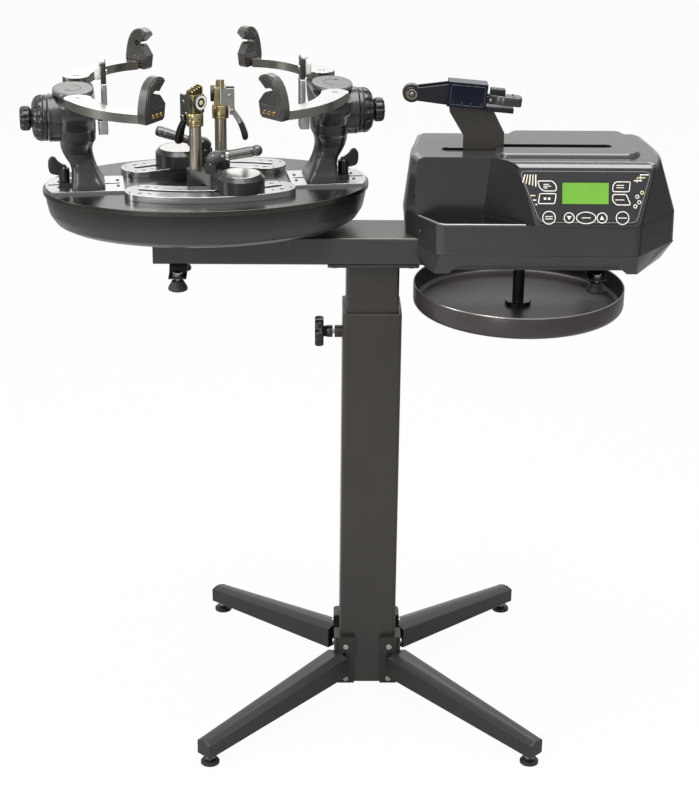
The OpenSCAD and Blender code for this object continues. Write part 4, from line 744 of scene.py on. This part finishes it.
def arm_and_hook(side, way):
    """A polished arm with a grey side band, and its cast hook with two ribs along the spine and three brass rings."""
    name = side + "_" + way
    piece = Piece(name + "_bar", None)
    piece.cad(name + "_arm", "arm_side", "arm_silver", lambda c, n: n[:, 2] > 0.7)
    piece.done(BODIES[name + "_arm"], name + "_arm", 1.8, 4)
    front = (way == "front") == (side == "right")
    place = TOWERS[side] @ np.diag([-1.0, 1.0 if front else -1.0, 1.0, 1.0])
    if not front:
        place = TOWERS[side] @ np.diag([-1.0, -1.0, 1.0, 1.0])
    place = place @ shift(6, -72, 134) @ shift(91.5, -118, 0.5) @ turn("Z", 50)
    hook = Piece(name + "_claw", place)
    hook.cad(name + "_hook", "hook_dark")
    ahead = np.gradient(HOOK_EDGE, axis=0)
    inward = np.column_stack([ahead[:, 1], -ahead[:, 0]])
    inward /= np.linalg.norm(inward, axis=1)[:, None]
    for face in (0.0, 13.0):
        for inset in (3.2, 7.0):
            line = HOOK_EDGE + inward * inset
            fine = np.linspace(0, len(line) - 1, 44)
            line = np.column_stack([np.interp(fine, np.arange(len(line)), line[:, k]) for k in (0, 1)])
            path = np.column_stack([line[:, 0], np.full(len(line), face), line[:, 1]])
            size = np.full(len(line), 1.05)
            size[[0, -1]] = 0.3
            hook.add(tube_along(path, size, 10), "hook_dark")
        line = np.array([(13, 33), (13.5, 26), (15, 20.5), (18, 18.6), (27, 18.6), (41, 19.5)])
        fine = np.linspace(0, len(line) - 1, 30)
        line = np.column_stack([np.interp(fine, np.arange(len(line)), line[:, k]) for k in (0, 1)])
        hook.add(tube_along(np.column_stack([line[:, 0], np.full(30, face), line[:, 1]]), 0.7, 8), "hook_dark")
        for x in (15, 24, 33):
            at = shift(x, face, 9) @ turn("X", 90)
            ring = [(1.8, -0.5), (1.8, 0.5), (2.1, 0.8), (2.6, 0.8), (2.95, 0.4), (2.95, -0.5)]
            hook.add(turned(ring, 24), "brass", at)
            # a black disc inside each ring: painted shade for its hole
            hook.add(turned([(1.8, -0.3), (1.8, 0.1), (0.02, 0.1)], 16), "black_plastic", at)
    hook.done(BODIES[name + "_hook"], name + "_hook", 1.5, 3)


def head_support(side):
    """The inner support: a steel bar on a foot block, a dark upper part, and a pale moulded pad."""
    piece = Piece(side + "_inner_support", TOWERS[side])
    piece.add(carved(block(-49, -41, -13, 13, 77, 152), [block(-44, -35, -13, 13, 77, 97)], (), 1.4, 3), "support_grey")
    piece.add(carved(block(-48.6, -41.2, -12.4, 12.4, 151.8, 184), (), (), 1.6, 3), "cast_dark")
    piece.add(carved(block(-42.5, -32, -10, 10, 158, 178), (), (), 3.4, 4), "nylon_pale")
    piece.add(carved(block(-46.5, -38, -12.6, 12.6, 181.5, 188), (), (), 2.4, 4), "nylon_pale")
    piece.add(turned([(5, 0), (5, 55.6), (4.4, 56.4), (0.02, 56.4)], 40), "bright_steel", shift(-45, 0, HUB_Z) @ ALONG_X)
    piece.add(screw_head(3.4, 1.6), "bright_steel", shift(-48.8, 0, 168) @ turn("Y", -90))
    piece.done(BODIES[side + "_head_support"], side + "_head_support", angle=40)


def lock_lever(side):
    """A thumb lever on a turned hub: a thin curved blade that rises away from the tower."""
    piece = Piece(side + "_thumb_lever", TOWERS[side] @ shift(18))
    hub = [(4.06, 5.6), (7.4, 5.6), (8, 6.2), (8, 24.8), (7.4, 25.5), (4.06, 25.6), (4.06, 5.6)]
    piece.add(turned(hub, 48), "black_plastic")
    blade = rounded([(-4, 12), (20.5, 17.5), (23, 26), (22.6, 38), (18, 43.6), (12.5, 42.5), (8.5, 36), (1, 30.5), (-4, 30)], 5, 6)
    points, faces = carved(slab(blade, -3.6, 3.6), (), (), 1.3, 3)
    piece.add((np.column_stack([points[:, 0], -points[:, 2], points[:, 1]]), faces), "black_plastic")
    piece.done(BODIES[side + "_lock_lever"], side + "_lock_lever", angle=40)


# ---------------------------------------------------------------- string clamps
def comb_teeth(piece, x0, x1, finish, at):
    """The upright teeth of one jaw: five thin blades whose heights step up along the jaw."""
    for i in range(5):
        y = -10.5 + 4.6 * i
        tall = 7 + 1.5 * i
        outline = [(x0, 997.3), (x1, 997.3), (x1, 997.5 + tall - 2), ((x0 + x1) / 2 + 0.6, 997.5 + tall), (x0, 997.5 + tall - 0.4)]
        points, faces = slab(outline, y, y + 2.6)
        piece.add((np.column_stack([points[:, 0], points[:, 2], points[:, 1]]), [f[::-1] for f in faces]), finish, at)


def clamp_set(way):
    """One string clamp, from its base disc on the glide bar up to the comb jaws and their levers."""
    bar, base_at, post_at = clamp_places(1 if way == "front" else -1)
    dress(way + "_glide_nut", "bright_steel", 0.4)

    base = Piece(way + "_base_casting", base_at)
    base.cad(way + "_clamp_base", "cast_dark", "pad_side", lambda c, n: (np.hypot(c[:, 0], c[:, 1]) < 35.5) & (abs(n[:, 2]) < 0.4))
    base.add(turned([(0.02, 891.2), (28.4, 891.2), (28.4, 892.1), (28.0, 892.4), (0.02, 892.4)], 96), "disc_silver")
    base.add(turned([(28.4, 891), (29.8, 891), (29.8, 892.2), (29.4, 892.5), (28.8, 892.5), (28.4, 892.2)], 96), "black_plastic")
    for a in range(0, 360, 15):
        groove = block(34.4, 35.15, -0.7, 0.7, 868.5, 885.5)
        base.add(groove, "black_plastic", turn("Z", a))
    base.done(BODIES[way + "_clamp_base"], way + "_clamp_base", 0.9, 3)

    lever = Piece(way + "_base_handle", base_at @ shift(54, 0, 893) @ turn("Z", 30))
    body = rounded([(5.8, 0), (8, 14), (2, 21), (-12, 25), (-28, 26), (-28, 10), (-14, 8), (-5.8, 0)], 4, 5)
    points, faces = carved(slab(body, -5.5, 5.5), (), (), 1.4, 3)
    lever.add((np.column_stack([points[:, 0], -points[:, 2], points[:, 1]]), faces), "cast_dark")
    x = np.concatenate([np.linspace(-22, -62, 14), -68 - 8.2 * np.sin(np.linspace(-0.6, 1.45, 10))])
    r = np.concatenate([np.linspace(7.3, 7.6, 14), 8.4 * np.cos(np.linspace(-0.6, 1.45, 10))])
    if way == "front":
        lever.add(tube_along(np.column_stack([x, 0 * x, 17.5 - 0.2 * (x + 24)]), r, 32), "lever_grey")
        lever.add(tube_along([(-23, 0, 17.5), (-26.5, 0, 17.5)], 8.3, 32), "bright_steel")
    else:
        wide = np.concatenate([np.linspace(6.5, 9.0, 14), 9.0 * np.cos(np.linspace(-0.6, 1.45, 10)) ** 0.35])
        lever.add(tube_along(np.column_stack([x, 0 * x, 17.5 - 0.28 * (x + 24)]), wide, 32, 0.9), "lever_grey")
    for px, pz, pr in ((0, 3, 2.6), (-4, 18, 2.2), (-18, 18, 2.2)):
        for s in (-1, 1):
            lever.add(turned([(pr, -0.3), (pr, 0.35), (pr - 0.4, 0.6), (0.02, 0.6)], 24), "bright_steel", shift(px, 5.5 * s, pz) @ turn("X", -90 * s))
    lever.done(BODIES[way + "_base_lever"], way + "_base_lever", angle=40)

    post = Piece(way + "_head_post", post_at)
    post.add(turned([(0.02, 886.4), (8.9, 886.4), (8.9, 951.2)], 64), "post_nickel")
    collar = [(8.9, 951), (12, 951), (12.5, 951.5), (12.5, 954.2), (12.0, 954.6), (12.0, 955.4), (12.5, 955.8),
              (12.5, 969.9), (12, 970.5), (0.02, 970.5)]
    post.add(turned(collar, 72), "clamp_brass")
    for a in (200, 250, 300, 350):
        post.add(turned([(1.5, 0), (1.5, 0.35), (1.0, 0.4), (0.02, 0.3)], 16), "black_plastic",
                 turn("Z", a) @ shift(12.4, 0, 962.5) @ ALONG_X)
    post.add(carved(block(0.2, 9.2, -11, 11, 970.5, 998.5), (), [block(6.8, 10, -3.5, 3.5, 968, 1000)], 0.9, 3), "clamp_brass")
    comb_teeth(post, 0.2, 6.2, "clamp_brass", np.eye(4))
    post.done(BODIES[way + "_clamp_post"], way + "_clamp_post", angle=40)

    jaw = Piece(way + "_moving_jaw", post_at)
    jaw.cad(way + "_clamp_jaw", "clamp_brass", "bracket_grey", lambda c, n: c[:, 0] < -8.9)
    for s in (-1, 1):
        for x, z, r in ((-17.5, 962.5, 3.6), (-14, 986, 2.4)):
            jaw.add(turned([(r, -0.3), (r, 0.5), (r - 0.5, 0.9), (0.02, 0.9)], 28), "bright_steel", shift(x, 9.9 * s, z) @ turn("X", -90 * s))
    jaw.done(BODIES[way + "_clamp_jaw"], way + "_clamp_jaw", 0.7, 3)

    dial = Piece(way + "_force_dial", post_at @ shift(9.5, 0, 987.5) @ ALONG_X)
    knurl = lambda a, z: 1 - 0.02 * (0.5 + 0.5 * np.cos(48 * a))
    dial.add(turned([(0.02, 0.02), (11.6, 0.05), (12, 0.5), (12, 4.2), (11.5, 4.9), (10.8, 4.9), (10.6, 4.6), (0.02, 4.6)], 192, knurl), "nose_dark")
    dial.add(turned([(10.6, 4.5), (10.6, 4.85), (7.0, 4.85), (7.0, 4.5)], 64), "print_white")
    for a in range(0, 360, 45):
        dial.add(block(8.2, 9.6, -0.3, 0.3, 4.8, 4.9), "black_plastic", turn("Z", a))
    dial.add(turned([(7.0, 4.5), (7.0, 4.75), (3.6, 4.75), (3.6, 4.5)], 64), "black_plastic")
    dial.add(turned([(3.6, 4.5), (3.6, 4.9), (3.2, 5.0), (1.3, 5.0), (1.2, 4.7), (0.02, 4.7)], 48), "print_cream")
    dial.done(BODIES[way + "_clamp_dial"], way + "_clamp_dial", angle=40)

    grip = Piece(way + "_head_lever_grip", post_at @ shift(-17.5, 0, 962.5) @ turn("Y", 24))
    z = np.linspace(-1, -50, 34)
    half_x, half_y = eased([(-50, 4.9, 7), (-40, 5, 7), (-24, 4.4, 6), (-12, 4, 5), (0, 4, 5)], z, 2.5)
    end = np.sqrt(np.clip(1 - (np.clip(-z - 44, 0, 6) / 6.3) ** 2, 0.02, 1))
    bow = -3.4 * np.sin(np.pi * np.clip(-z / 50, 0, 1))
    rings = [
        np.column_stack([super_ring(d, 0, a * e, b * e, 3, 40), np.full(40, h)])
        for h, a, b, e, d in zip(z, half_x, half_y, end, bow)
    ]
    cut = 15
    upper = "bracket_grey" if way == "rear" else "knob_black"
    grip.add(loft([r[::-1] for r in rings[:cut]]), upper)
    grip.add(loft([r[::-1] for r in rings[cut - 1:]]), "knob_black")
    grip.add(moved(turned([(4, -5), (4, 5)], 40), turn("X", 90)), upper)
    grip.done(BODIES[way + "_head_lever"], way + "_head_lever", angle=50)


# ---------------------------------------------------------------- tension head
def tension_head():
    """The sloping blade, the polished casing with its nose arms, the gripper lever and the roller."""
    dress("head_blade", "blade_grey", 1.6, 4)
    case = Piece("head_shell", HEAD)
    case.cad("head_casing", "casing_blue", "nose_dark", lambda c, n: (c[:, 0] < -1) | (c[:, 0] > 58.3))
    for s in (-1, 1):
        side = np.array([[1, 0, 0, 0], [0, 0, s, 14 * s], [0, 1, 0, 0], [0, 0, 0, 1.0]])
        # pale lines round each side face: painted highlight on the casing's edges
        highlight_line = rounded([(4, 3.5), (54.5, 3.5), (54.5, 33), (4, 33)], 3, 5)
        case.add(stroke(highlight_line, 0.8, -0.2, 0.25), "casing_painted_highlight", side)
        nose = side @ shift(-52.5, 12.5, -2.2)
        case.add(turned([(7.9, -0.2), (7.9, 0.5), (5.0, 0.5), (5.0, -0.2)], 40), "roller_face", nose)
        case.add(turned([(2.6, -0.2), (2.6, 0.9), (2.2, 1.2), (0.02, 1.2)], 28), "bright_steel", nose)
        for x in (9, 22, 36, 50):
            case.add(screw_head(1.7, 1.0), "screw_dark", side @ shift(x, 7, -0.1))
        case.add(turned([(2.4, -0.2), (2.4, 0.5), (2.0, 0.8), (0.02, 0.8)], 28), "bright_steel",
                 shift(64, 11.3 * s, 14) @ turn("X", -90 * s))
    case.done(BODIES["head_casing"], "head_casing", 1.0, 3)

    lever = Piece("gripper", HEAD @ shift(64, 0, 14))
    lever.add(moved(turned([(2.06, -7.9), (5, -7.9), (5, 7.9), (2.06, 7.9), (2.06, -7.9)], 40), turn("X", 90)), "lever_grey")
    handle = [(-3, -7.4), (11, -7.8), (19, -11.6), (44, -11.9), (47, -8), (47, 8), (44, 11.9), (19, 11.6), (11, 7.8), (-3, 7.4)]
    notch = block(40, 50, -3, 3, -9, 3)
    lever.add(carved(slab(rounded(handle, 4, 5), -6.6, 7.2), (), [notch], 1.6, 4), "lever_grey")
    lever.add(carved(block(-1, 21, -7, 7, 6.8, 16.5), (), [block(-4, 30, -0.8, 0.8, 12, 20)], 1.6, 3), "nose_dark")
    for y in (-7.5, 7.5):
        lever.add(screw_head(2.0, 1.0), "screw_dark", shift(34, y, 7.0))
    lever.done(BODIES["gripper_lever"], "gripper_lever", angle=40)

    roller = Piece("nose_wheel", HEAD @ shift(-52.5, 0, 12.5) @ turn("X", 90))
    wheel_face = [(3, -6.15), (9.4, -6.15), (9.6, -5.9), (9.6, 5.9), (9.4, 6.15), (3, 6.15)]
    roller.add(turned(wheel_face, 64), "roller_face")
    wheel = [(3, -6), (9.6, -6), (10, -5.2), (11.6, -5.2), (12, -6), (13, -6), (13.5, -5.4), (13.5, -2.6), (12.6, -1.6),
             (12.6, 1.6), (13.5, 2.6), (13.5, 5.4), (13, 6), (12, 6), (11.6, 5.2), (10, 5.2), (9.6, 6), (3, 6)]
    roller.add(turned(wheel, 72), "roller_grey")
    roller.add(turned([(0.02, -13.9), (2.6, -13.9), (3, -13.5), (3, 13.5), (2.6, 13.9), (0.02, 13.9)], 32), "bright_steel")
    roller.done(BODIES["nose_roller"], "nose_roller", angle=40)

    screw = Piece("drive_thread", COLUMN @ shift(0, 0, 850) @ ALONG_X)
    along = np.arange(69, 381.01, 0.9)
    thread = lambda a, z: 1 - 0.09 * (0.5 + 0.5 * np.cos(a - 2 * math.pi * z / 5.0)) ** 1.5
    screw.add(turned(np.column_stack([np.full(len(along), 7.0), along]), 32, thread), "bright_steel")
    screw.done(BODIES["lead_screw"], "lead_screw", angle=60)


# ---------------------------------------------------------------- unit
def flat_box(x0, x1, y0, y1, z0, z1, radius=1.0, steps=3):
    return carved(block(x0, x1, y0, y1, z0, z1), (), (), radius, steps)


COVER_KNOTS = [
    # height, then how far the left, right, front and back are drawn in, and the corner cuts at the left and right
    (776, 4, -1, 1, 0, 46, 66), (822, 0, 0, 0, 0, 48, 65), (904, 10, 27, 24.5, 6, 16, 17), (908, 13, 31, 29, 7, 12, 12),
    (910.9, 19, 38, 38, 10, 12, 12)]


def cover_loft(wall, radius):
    """The cover's closed outline: rounded rings of the cut-cornered plan, drawn in by wall."""
    knots = np.array(COVER_KNOTS, float)
    rings = []
    for z in (776, 816, 822, 828, 896, 902, 904, 906, 908, 909.6, 910.9):
        left, right, front, back, cl, cr = (np.interp(z, knots[:, 0], knots[:, k]) for k in range(1, 7))
        x0, x1, y0, y1 = left + wall, 409 - right - wall, -99 + front + wall, 105 - back - wall
        cl, cr = cl - wall * 0.4, cr - wall * 0.4
        plan = [(x0, -18), (x0 + cl, y0), (x1 - cr, y0), (x1, -18), (x1, 18), (x1 - cr, y1), (x0 + cl, y1), (x0, 18)]
        ring = rounded(plan, radius, 6)
        height = z - (wall if z > 822 else (1 if z == 776 and wall else 0))
        rings.append(np.column_stack([ring, np.full(len(ring), height)]))
    return loft(rings)


def pocket(wall):
    """The open corner above the ledge: a wedge that leans to the right as it rises, and the trough below it."""
    low = np.array([(-50, -45 + wall), (-50, -130), (232 + wall, -130), (117 + wall, -45 + wall)], float)[::-1]
    rings = [np.column_stack([low + (k * 11, 0), np.full(4, 822 - wall + k * 110)]) for k in (0, 1)]
    trough = [(20 - wall, -45 + wall), (53 - wall, -92 - wall), (179 + wall, -92 - wall), (117 + wall, -45 + wall)]
    return loft([r[::-1] for r in rings]), slab(rounded(trough, 5, 5), 804 - wall, 834)


def unit_shell():
    """The moulded cover: a hollow shell with its pocket, trough, raised deck and slot, and softened edges."""
    cover = Piece("cover", UNIT)
    plan = rounded([(146, -44), (334, -44), (347, -28), (348, 50), (332, 92), (172, 92), (160, 70), (132, -30)], 8, 6)
    levels = ((3.2, 907.5), (3.2, 911.6), (1.6, 914.4), (0.2, 916.2), (-0.6, 916.9), (-1.4, 917))
    raised = loft([np.column_stack([grown(plan, g), np.full(len(plan), z)]) for g, z in levels])
    slot = np.vstack([arc((65, 0), 9, 90, 270, 12), arc((301, 0), 9, -90, 90, 12)])
    inner = carved(cover_loft(3, 6), (), pocket(3))
    openings = [block(-1.3, 79, -48.3, 48.3, 773.1, 787.2), block(284, 334, 85, 125, 791, 815)]
    cuts = [*pocket(0), *openings, slab(slot, 880, 931), inner]
    cover.add(carved(cover_loft(0, 9), [raised], cuts), "cover_plastic")
    # painted shade: the pocket's end wall, the slot's walls and the right end take the darker plastic
    cover.tone("painted_shade_plastic", painted_shade_facets)
    lip = np.vstack([arc((65, 0), 10.2, 90, 270, 16), arc((301, 0), 10.2, -90, 90, 16)])
    cover.add(stroke(lip[:18], 1.1, 910.2, 911.5, closed=False), "cover_plastic")
    # a pale bead along the trough's lip: painted highlight
    highlight_bead = rounded([(21, -47), (52, -93.6), (172, -93.6)], 9, 7)[7:14]
    highlight_bead = np.vstack([(21.5, -48), highlight_bead, (176, -93.8)])
    heights = np.full(len(highlight_bead), 822.2)
    cover.add(tube_along(np.column_stack([highlight_bead, heights]), 1.5, 12), "lip_painted_highlight")
    for x, y, way in ((22.5, -58, -1), (377, -59, 1)):
        at = shift(x, y, 800) @ turn("Z", -61 if way > 0 else -121) @ ALONG_X
        cover.add(turned([(3.2, -0.8), (3.2, 0.5), (2.8, 0.9), (1.7, 0.9), (1.5, 0.1), (0.02, 0.1)], 24), "screw_dark", at)
    cover.done(BODIES["housing"], "housing", 2.4, 4, 24)
    pan = Piece("pan", UNIT)
    pan.cad("base_pan", "cover_plastic")
    panel = [(66, 752.6), (86, 775.5), (304, 775.5), (322, 752.6)]
    points, faces = slab(panel, 0, 3)
    pan.add((np.column_stack([points[:, 0], points[:, 2] - 92.5, points[:, 1]]), faces), "cover_plastic")
    # dark triangles at the corners of the arch: painted shadow on its slanted faces
    for x0, x1 in ((58, 82), (330, 308)):
        corner = [(x0, 752.8), (x1 if x1 > x0 else x1, 773), (x0 + (8 if x0 < x1 else -8), 752.8)]
        points, faces = slab(corner, 0, 1)
        pan.add((np.column_stack([points[:, 0], points[:, 2] - 94, points[:, 1]]), faces), "painted_shade_plastic")
    pan.done(BODIES["base_pan"], "base_pan", 1.6, 3)
    dress("drive_motor", "black_plastic", 1.2, 3)


def painted_shade_facets(c, n):
    """Painted shade: picks the pocket's slanted end wall, the slot's own walls and the cover's right end for the darker
    plastic.
    """
    slot = (abs(c[:, 1]) < 9.7) & (c[:, 0] > 54) & (c[:, 0] < 312) & (abs(n[:, 2]) < 0.5) & (c[:, 2] > 890)
    wall = (c[:, 1] < -40) & (c[:, 0] > 90) & (c[:, 0] < 235) & (n[:, 0] < -0.4) & (n[:, 2] < 0.5) & (c[:, 2] > 803)
    return wall | slot | ((c[:, 0] > 300) & (n[:, 0] > 0.55) & (n[:, 2] < 0.75))


def key(piece, outline, symbol):
    """A printed key: a white outline, a slightly raised cap and a plain symbol."""
    shape = rounded(outline, 2.6, 5)
    piece.add(slab(shape, 1.35, 1.5), "key_grey")
    piece.add(stroke(shape, 1.35, 1.4, 1.6), "print_white")
    centre = np.mean(outline, 0)
    for mark in symbol:
        mark = np.asarray(mark, float) + centre
        if len(mark) == 2:
            a, b = mark
            mark = [a + (0, -0.55), b + (0, -0.55), b + (0, 0.55), a + (0, 0.55)]
        piece.add(slab(mark, 1.45, 1.58), "print_white")


def circle(x, y, rx, ry=None, count=48):
    return super_ring(x, y, rx, ry or rx, 2, count)


def control_face():
    """The glossy key membrane: a rounded trapezoid with a white border, a green window, nine keys and plain stripes."""
    piece = Piece("key_membrane", PANEL)
    edge = rounded([(-71.5, 3.2), (74.5, 3.2), (96, 84.4), (-105.5, 84.4)], 9, 9)
    piece.add(carved(slab(edge, 0.02, 1.4), (), (), 0.35, 2), "panel_gloss")
    border = rounded([(-69.5, 6), (72, 6), (91.5, 80.5), (-101, 80.5)], 9, 9)
    piece.add(stroke(border, 0.75, 1.3, 1.5), "print_grey")
    piece.add(slab(rounded([(-39.4, 31.6), (31.4, 31.6), (31.4, 65.4), (-39.4, 65.4)], 1.5), 1.3, 1.46), "display_frame")
    piece.add(slab(rounded([(-38, 33), (30, 33), (30, 64), (-38, 64)], 0.8), 1.35, 1.5), "display_green")
    bars = [[(-6, 2.6), (2, 2.6)], [(-6, 0), (5, 0)], [(-6, -2.6), (0, -2.6)]]
    ring = [[(-5, -1.6), (-1.4, -1.6), (-1.4, 1.6), (-5, 1.6)], [(1, -1.6), (4.6, -1.6), (4.6, 1.6), (1, 1.6)]]
    line = [[(-6.5, 0), (6.5, 0)]]
    two = [[(-5.5, 1.7), (5.5, 1.7)], [(-5.5, -1.7), (5.5, -1.7)]]
    key(piece, [(-74.5, 66.3), (-53, 66.3), (-47, 60), (-47, 51.8), (-66, 51.8), (-71, 56)], bars)
    key(piece, [(-71, 47.9), (-47, 47.9), (-49, 33.4), (-73, 33.4)], ring)
    key(piece, [(40, 65.6), (61.5, 65.6), (60, 51.2), (36, 51.2), (36, 60)], two)
    key(piece, [(36, 47.2), (56, 47.2), (62.5, 32), (42, 32), (36, 38)], line)
    up = [[(-3.4, -2.6), (3.4, -2.6), (0, 3.4)]]
    down = [[(-3.4, 2.6), (0, -3.4), (3.4, 2.6)]]
    for x, rx, ry, symbol in ((-57, 9.3, 9.3, two), (-27.4, 7.3, 7.3, down), (-2.5, 14.2, 8.4, line), (20.9, 7.3, 7.3, up), (51, 9.3, 9.3, line)):
        shape = circle(x, 12.9, rx, ry)
        piece.add(slab(shape, 1.35, 1.5), "key_grey")
        piece.add(stroke(shape, 1.3, 1.4, 1.6), "print_white")
        for mark in symbol:
            mark = np.asarray(mark, float) + (x, 12.9)
            if len(mark) == 2:
                a, b = mark
                mark = [a + (0, -0.6), b + (0, -0.6), b + (0, 0.6), a + (0, 0.6)]
            piece.add(slab(mark, 1.45, 1.58), "print_white")
    # plain decoration: fans of leaning bars at the left, steps at the upper right and rings at the lower right
    for i in range(5):
        tone = "print_cream" if i in (1, 3) else "print_white"
        x = -95 + 3.9 * i
        path = [(x + 2, 75.5), (x - 1.2 + 0.9 * i, 64 - 1.5 * i)]
        piece.add(stroke(path, 1.7, 1.4, 1.58, closed=False), tone)
    for i in range(3):
        tone = "print_cream" if i == 0 else "print_white"
        y = 45 - 6.5 * i
        path = [(-84.5 + 3.6 * i, y), (-77.5 + 1.6 * i, y)]
        piece.add(stroke(path, 1.7, 1.4, 1.58, closed=False), tone)
    for i in range(3):
        tone = "print_cream" if i == 1 else "print_white"
        g = 4.3 * i
        path = [(88 - g * 1.1, 76 - g), (76 - g * 1.1, 76 - g), (76 - g * 1.1, 69 - g), (69.5 - g * 0.5, 69 - g)]
        piece.add(stroke(path[:3] if i < 2 else path[:2], 1.6, 1.4, 1.58, closed=False), tone)
    for i, (x, y) in enumerate(((72, 44), (79, 50), (69.5, 30), (75, 36))):
        tone = "print_cream" if i == 1 else "print_white"
        piece.add(stroke(circle(x, y, 2.3, count=32), 1.2, 1.4, 1.58), tone)
    piece.done(BODIES["control_panel"], "control_panel", angle=40)


def power_parts():
    """The mains inlet with its three pins and bezel, and the rocker with its two plain marks."""
    inlet = Piece("inlet_socket", COLUMN @ shift(344, 105, 803) @ turn("X", -90))
    inlet.cad("power_inlet", "black_plastic")
    for x, y in ((-5.5, 3.0), (0, -3.4), (5.5, 3.0)):
        inlet.add(carved(block(x - 0.6, x + 0.6, y - 2.2, y + 2.2, -16.2, -4), (), (), 0.3, 2), "bright_steel")
    inlet.done(BODIES["power_inlet"], "power_inlet", 0.6, 2)
    rocker = Piece("rocker", COLUMN @ shift(369, 104, 803) @ turn("X", -90))
    rocker.cad("power_switch", "black_plastic")
    rocker.add(block(-0.5, 0.5, -6.2, -3.2, 3.0, 3.35), "print_white")
    rocker.add(stroke(circle(0, 4.6, 1.7, count=24), 0.7, 3.0, 3.35), "print_white")
    rocker.done(BODIES["power_switch"], "power_switch", 0.6, 2)


# ---------------------------------------------------------------- every piece in turn
stand_details()
lock_knob()
bench_details()
tray()
dish()
deck_details()
for side in ("left", "right"):
    tower_piece(side)
    knobs(side)
    head_support(side)
    lock_lever(side)
    for way in ("front", "rear"):
        arm_and_hook(side, way)
for way in ("front", "rear"):
    clamp_set(way)
tension_head()
unit_shell()
control_face()
power_parts()


# ---------------------------------------------------------------- room, lamps and camera
def backdrop():
    """The pale floor and the world: white to the camera, to mirrors and through glass."""
    mesh = bpy.data.meshes.new("floor")
    mesh.from_pydata([(-9, -9, -0.0004), (9, -9, -0.0004), (9, 9, -0.0004), (-9, 9, -0.0004)], [], [(0, 1, 2, 3)])
    floor = bpy.data.objects.new("floor", mesh)
    bpy.context.scene.collection.objects.link(floor)
    f = Finish("floor_white")
    f.put(Roughness=0.9, Specular_IOR_Level=0.0)
    shade = f.noise(1.5, 1.0)
    f.put(Base_Color=f.mix(shade, (0.5, 0.5, 0.5, 1), (0.54, 0.54, 0.54, 1)))
    mesh.materials.append(f.material)
    tree = f.tree
    out = next(n for n in tree.nodes if n.type == "OUTPUT_MATERIAL")
    glow = tree.nodes.new("ShaderNodeEmission")
    glow.inputs["Strength"].default_value = 1.0
    add = tree.nodes.new("ShaderNodeMixShader")
    path = tree.nodes.new("ShaderNodeLightPath")
    share = tree.nodes.new("ShaderNodeMath")
    share.operation = "MULTIPLY"
    share.inputs[1].default_value = 0.965
    tree.links.new(path.outputs["Is Camera Ray"], share.inputs[0])
    tree.links.new(share.outputs[0], add.inputs[0])
    tree.links.new(f.shader.outputs[0], add.inputs[1])
    tree.links.new(glow.outputs[0], add.inputs[2])
    tree.links.new(add.outputs[0], out.inputs["Surface"])

    world = bpy.data.worlds.new("room")
    bpy.context.scene.world = world
    world.use_nodes = True
    tree = world.node_tree
    path = tree.nodes.new("ShaderNodeLightPath")
    total = path.outputs["Is Camera Ray"]
    for extra in ("Is Glossy Ray", "Is Transmission Ray"):
        plus = tree.nodes.new("ShaderNodeMath")
        plus.operation = "MAXIMUM"
        tree.links.new(total, plus.inputs[0])
        tree.links.new(path.outputs[extra], plus.inputs[1])
        total = plus.outputs[0]
    level = tree.nodes.new("ShaderNodeMapRange")
    level.inputs["To Min"].default_value = 0.18
    level.inputs["To Max"].default_value = 1.0
    tree.links.new(total, level.inputs["Value"])
    sky = tree.nodes["Background"]
    sky.inputs["Color"].default_value = (1, 1, 1, 1)
    tree.links.new(level.outputs["Result"], sky.inputs["Strength"])


def lamp(name, place, target, power, size):
    data = bpy.data.lights.new(name, "AREA")
    data.energy, data.shape, data.size, data.size_y = power, "RECTANGLE", size[0], size[1]
    made = bpy.data.objects.new(name, data)
    bpy.context.scene.collection.objects.link(made)
    made.location = place
    made.rotation_euler = (Vector(target) - Vector(place)).to_track_quat("-Z", "Y").to_euler()


def camera():
    """The photograph's view: the fitted place, aim and lens, in the part's own frame."""
    pitch, yaw, roll = (math.radians(v) for v in (22.36, -1.33, 0.68))
    ahead = Vector((-math.sin(yaw) * math.cos(pitch), math.cos(yaw) * math.cos(pitch), -math.sin(pitch)))
    right = Vector((math.cos(yaw), math.sin(yaw), 0))
    up = right.cross(ahead)
    r = right * math.cos(roll) + up * math.sin(roll)
    u = -right * math.sin(roll) + up * math.cos(roll)
    data = bpy.data.cameras.new("camera")
    data.lens, data.sensor_width = 87.3, 36
    made = bpy.data.objects.new("camera", data)
    bpy.context.scene.collection.objects.link(made)
    turned_to = Matrix((r, u, -ahead)).transposed().to_4x4()
    turned_to.translation = Vector(((-98 + COLUMN_X) * MM, -2.818, 1.665))
    made.matrix_world = turned_to
    bpy.context.scene.camera = made


backdrop()
lamp("key", (-1.5, -2.2, 2.6), (0, 0, 0.8), 40, (0.9, 1.6))
lamp("side", (-2.6, -0.6, 1.5), (0, 0, 0.8), 30, (0.5, 1.8))
lamp("front", (-1.3, -3.2, 0.7), (0.1, 0, 0.8), 14, (0.8, 0.6))
lamp("back", (0.6, 2.6, 3.0), (0, 0, 0.9), 24, (2.4, 0.7))
lamp("table shine", (-0.5, 3.0, 2.1), (-0.2, 0, 0.9), 2.2, (0.8, 0.4))
lamp("top", (0.1, -0.3, 3.2), (0.1, -0.3, 0.9), 170, (2.6, 2.2))
camera()
bpy.context.scene.view_settings.view_transform = "Standard"
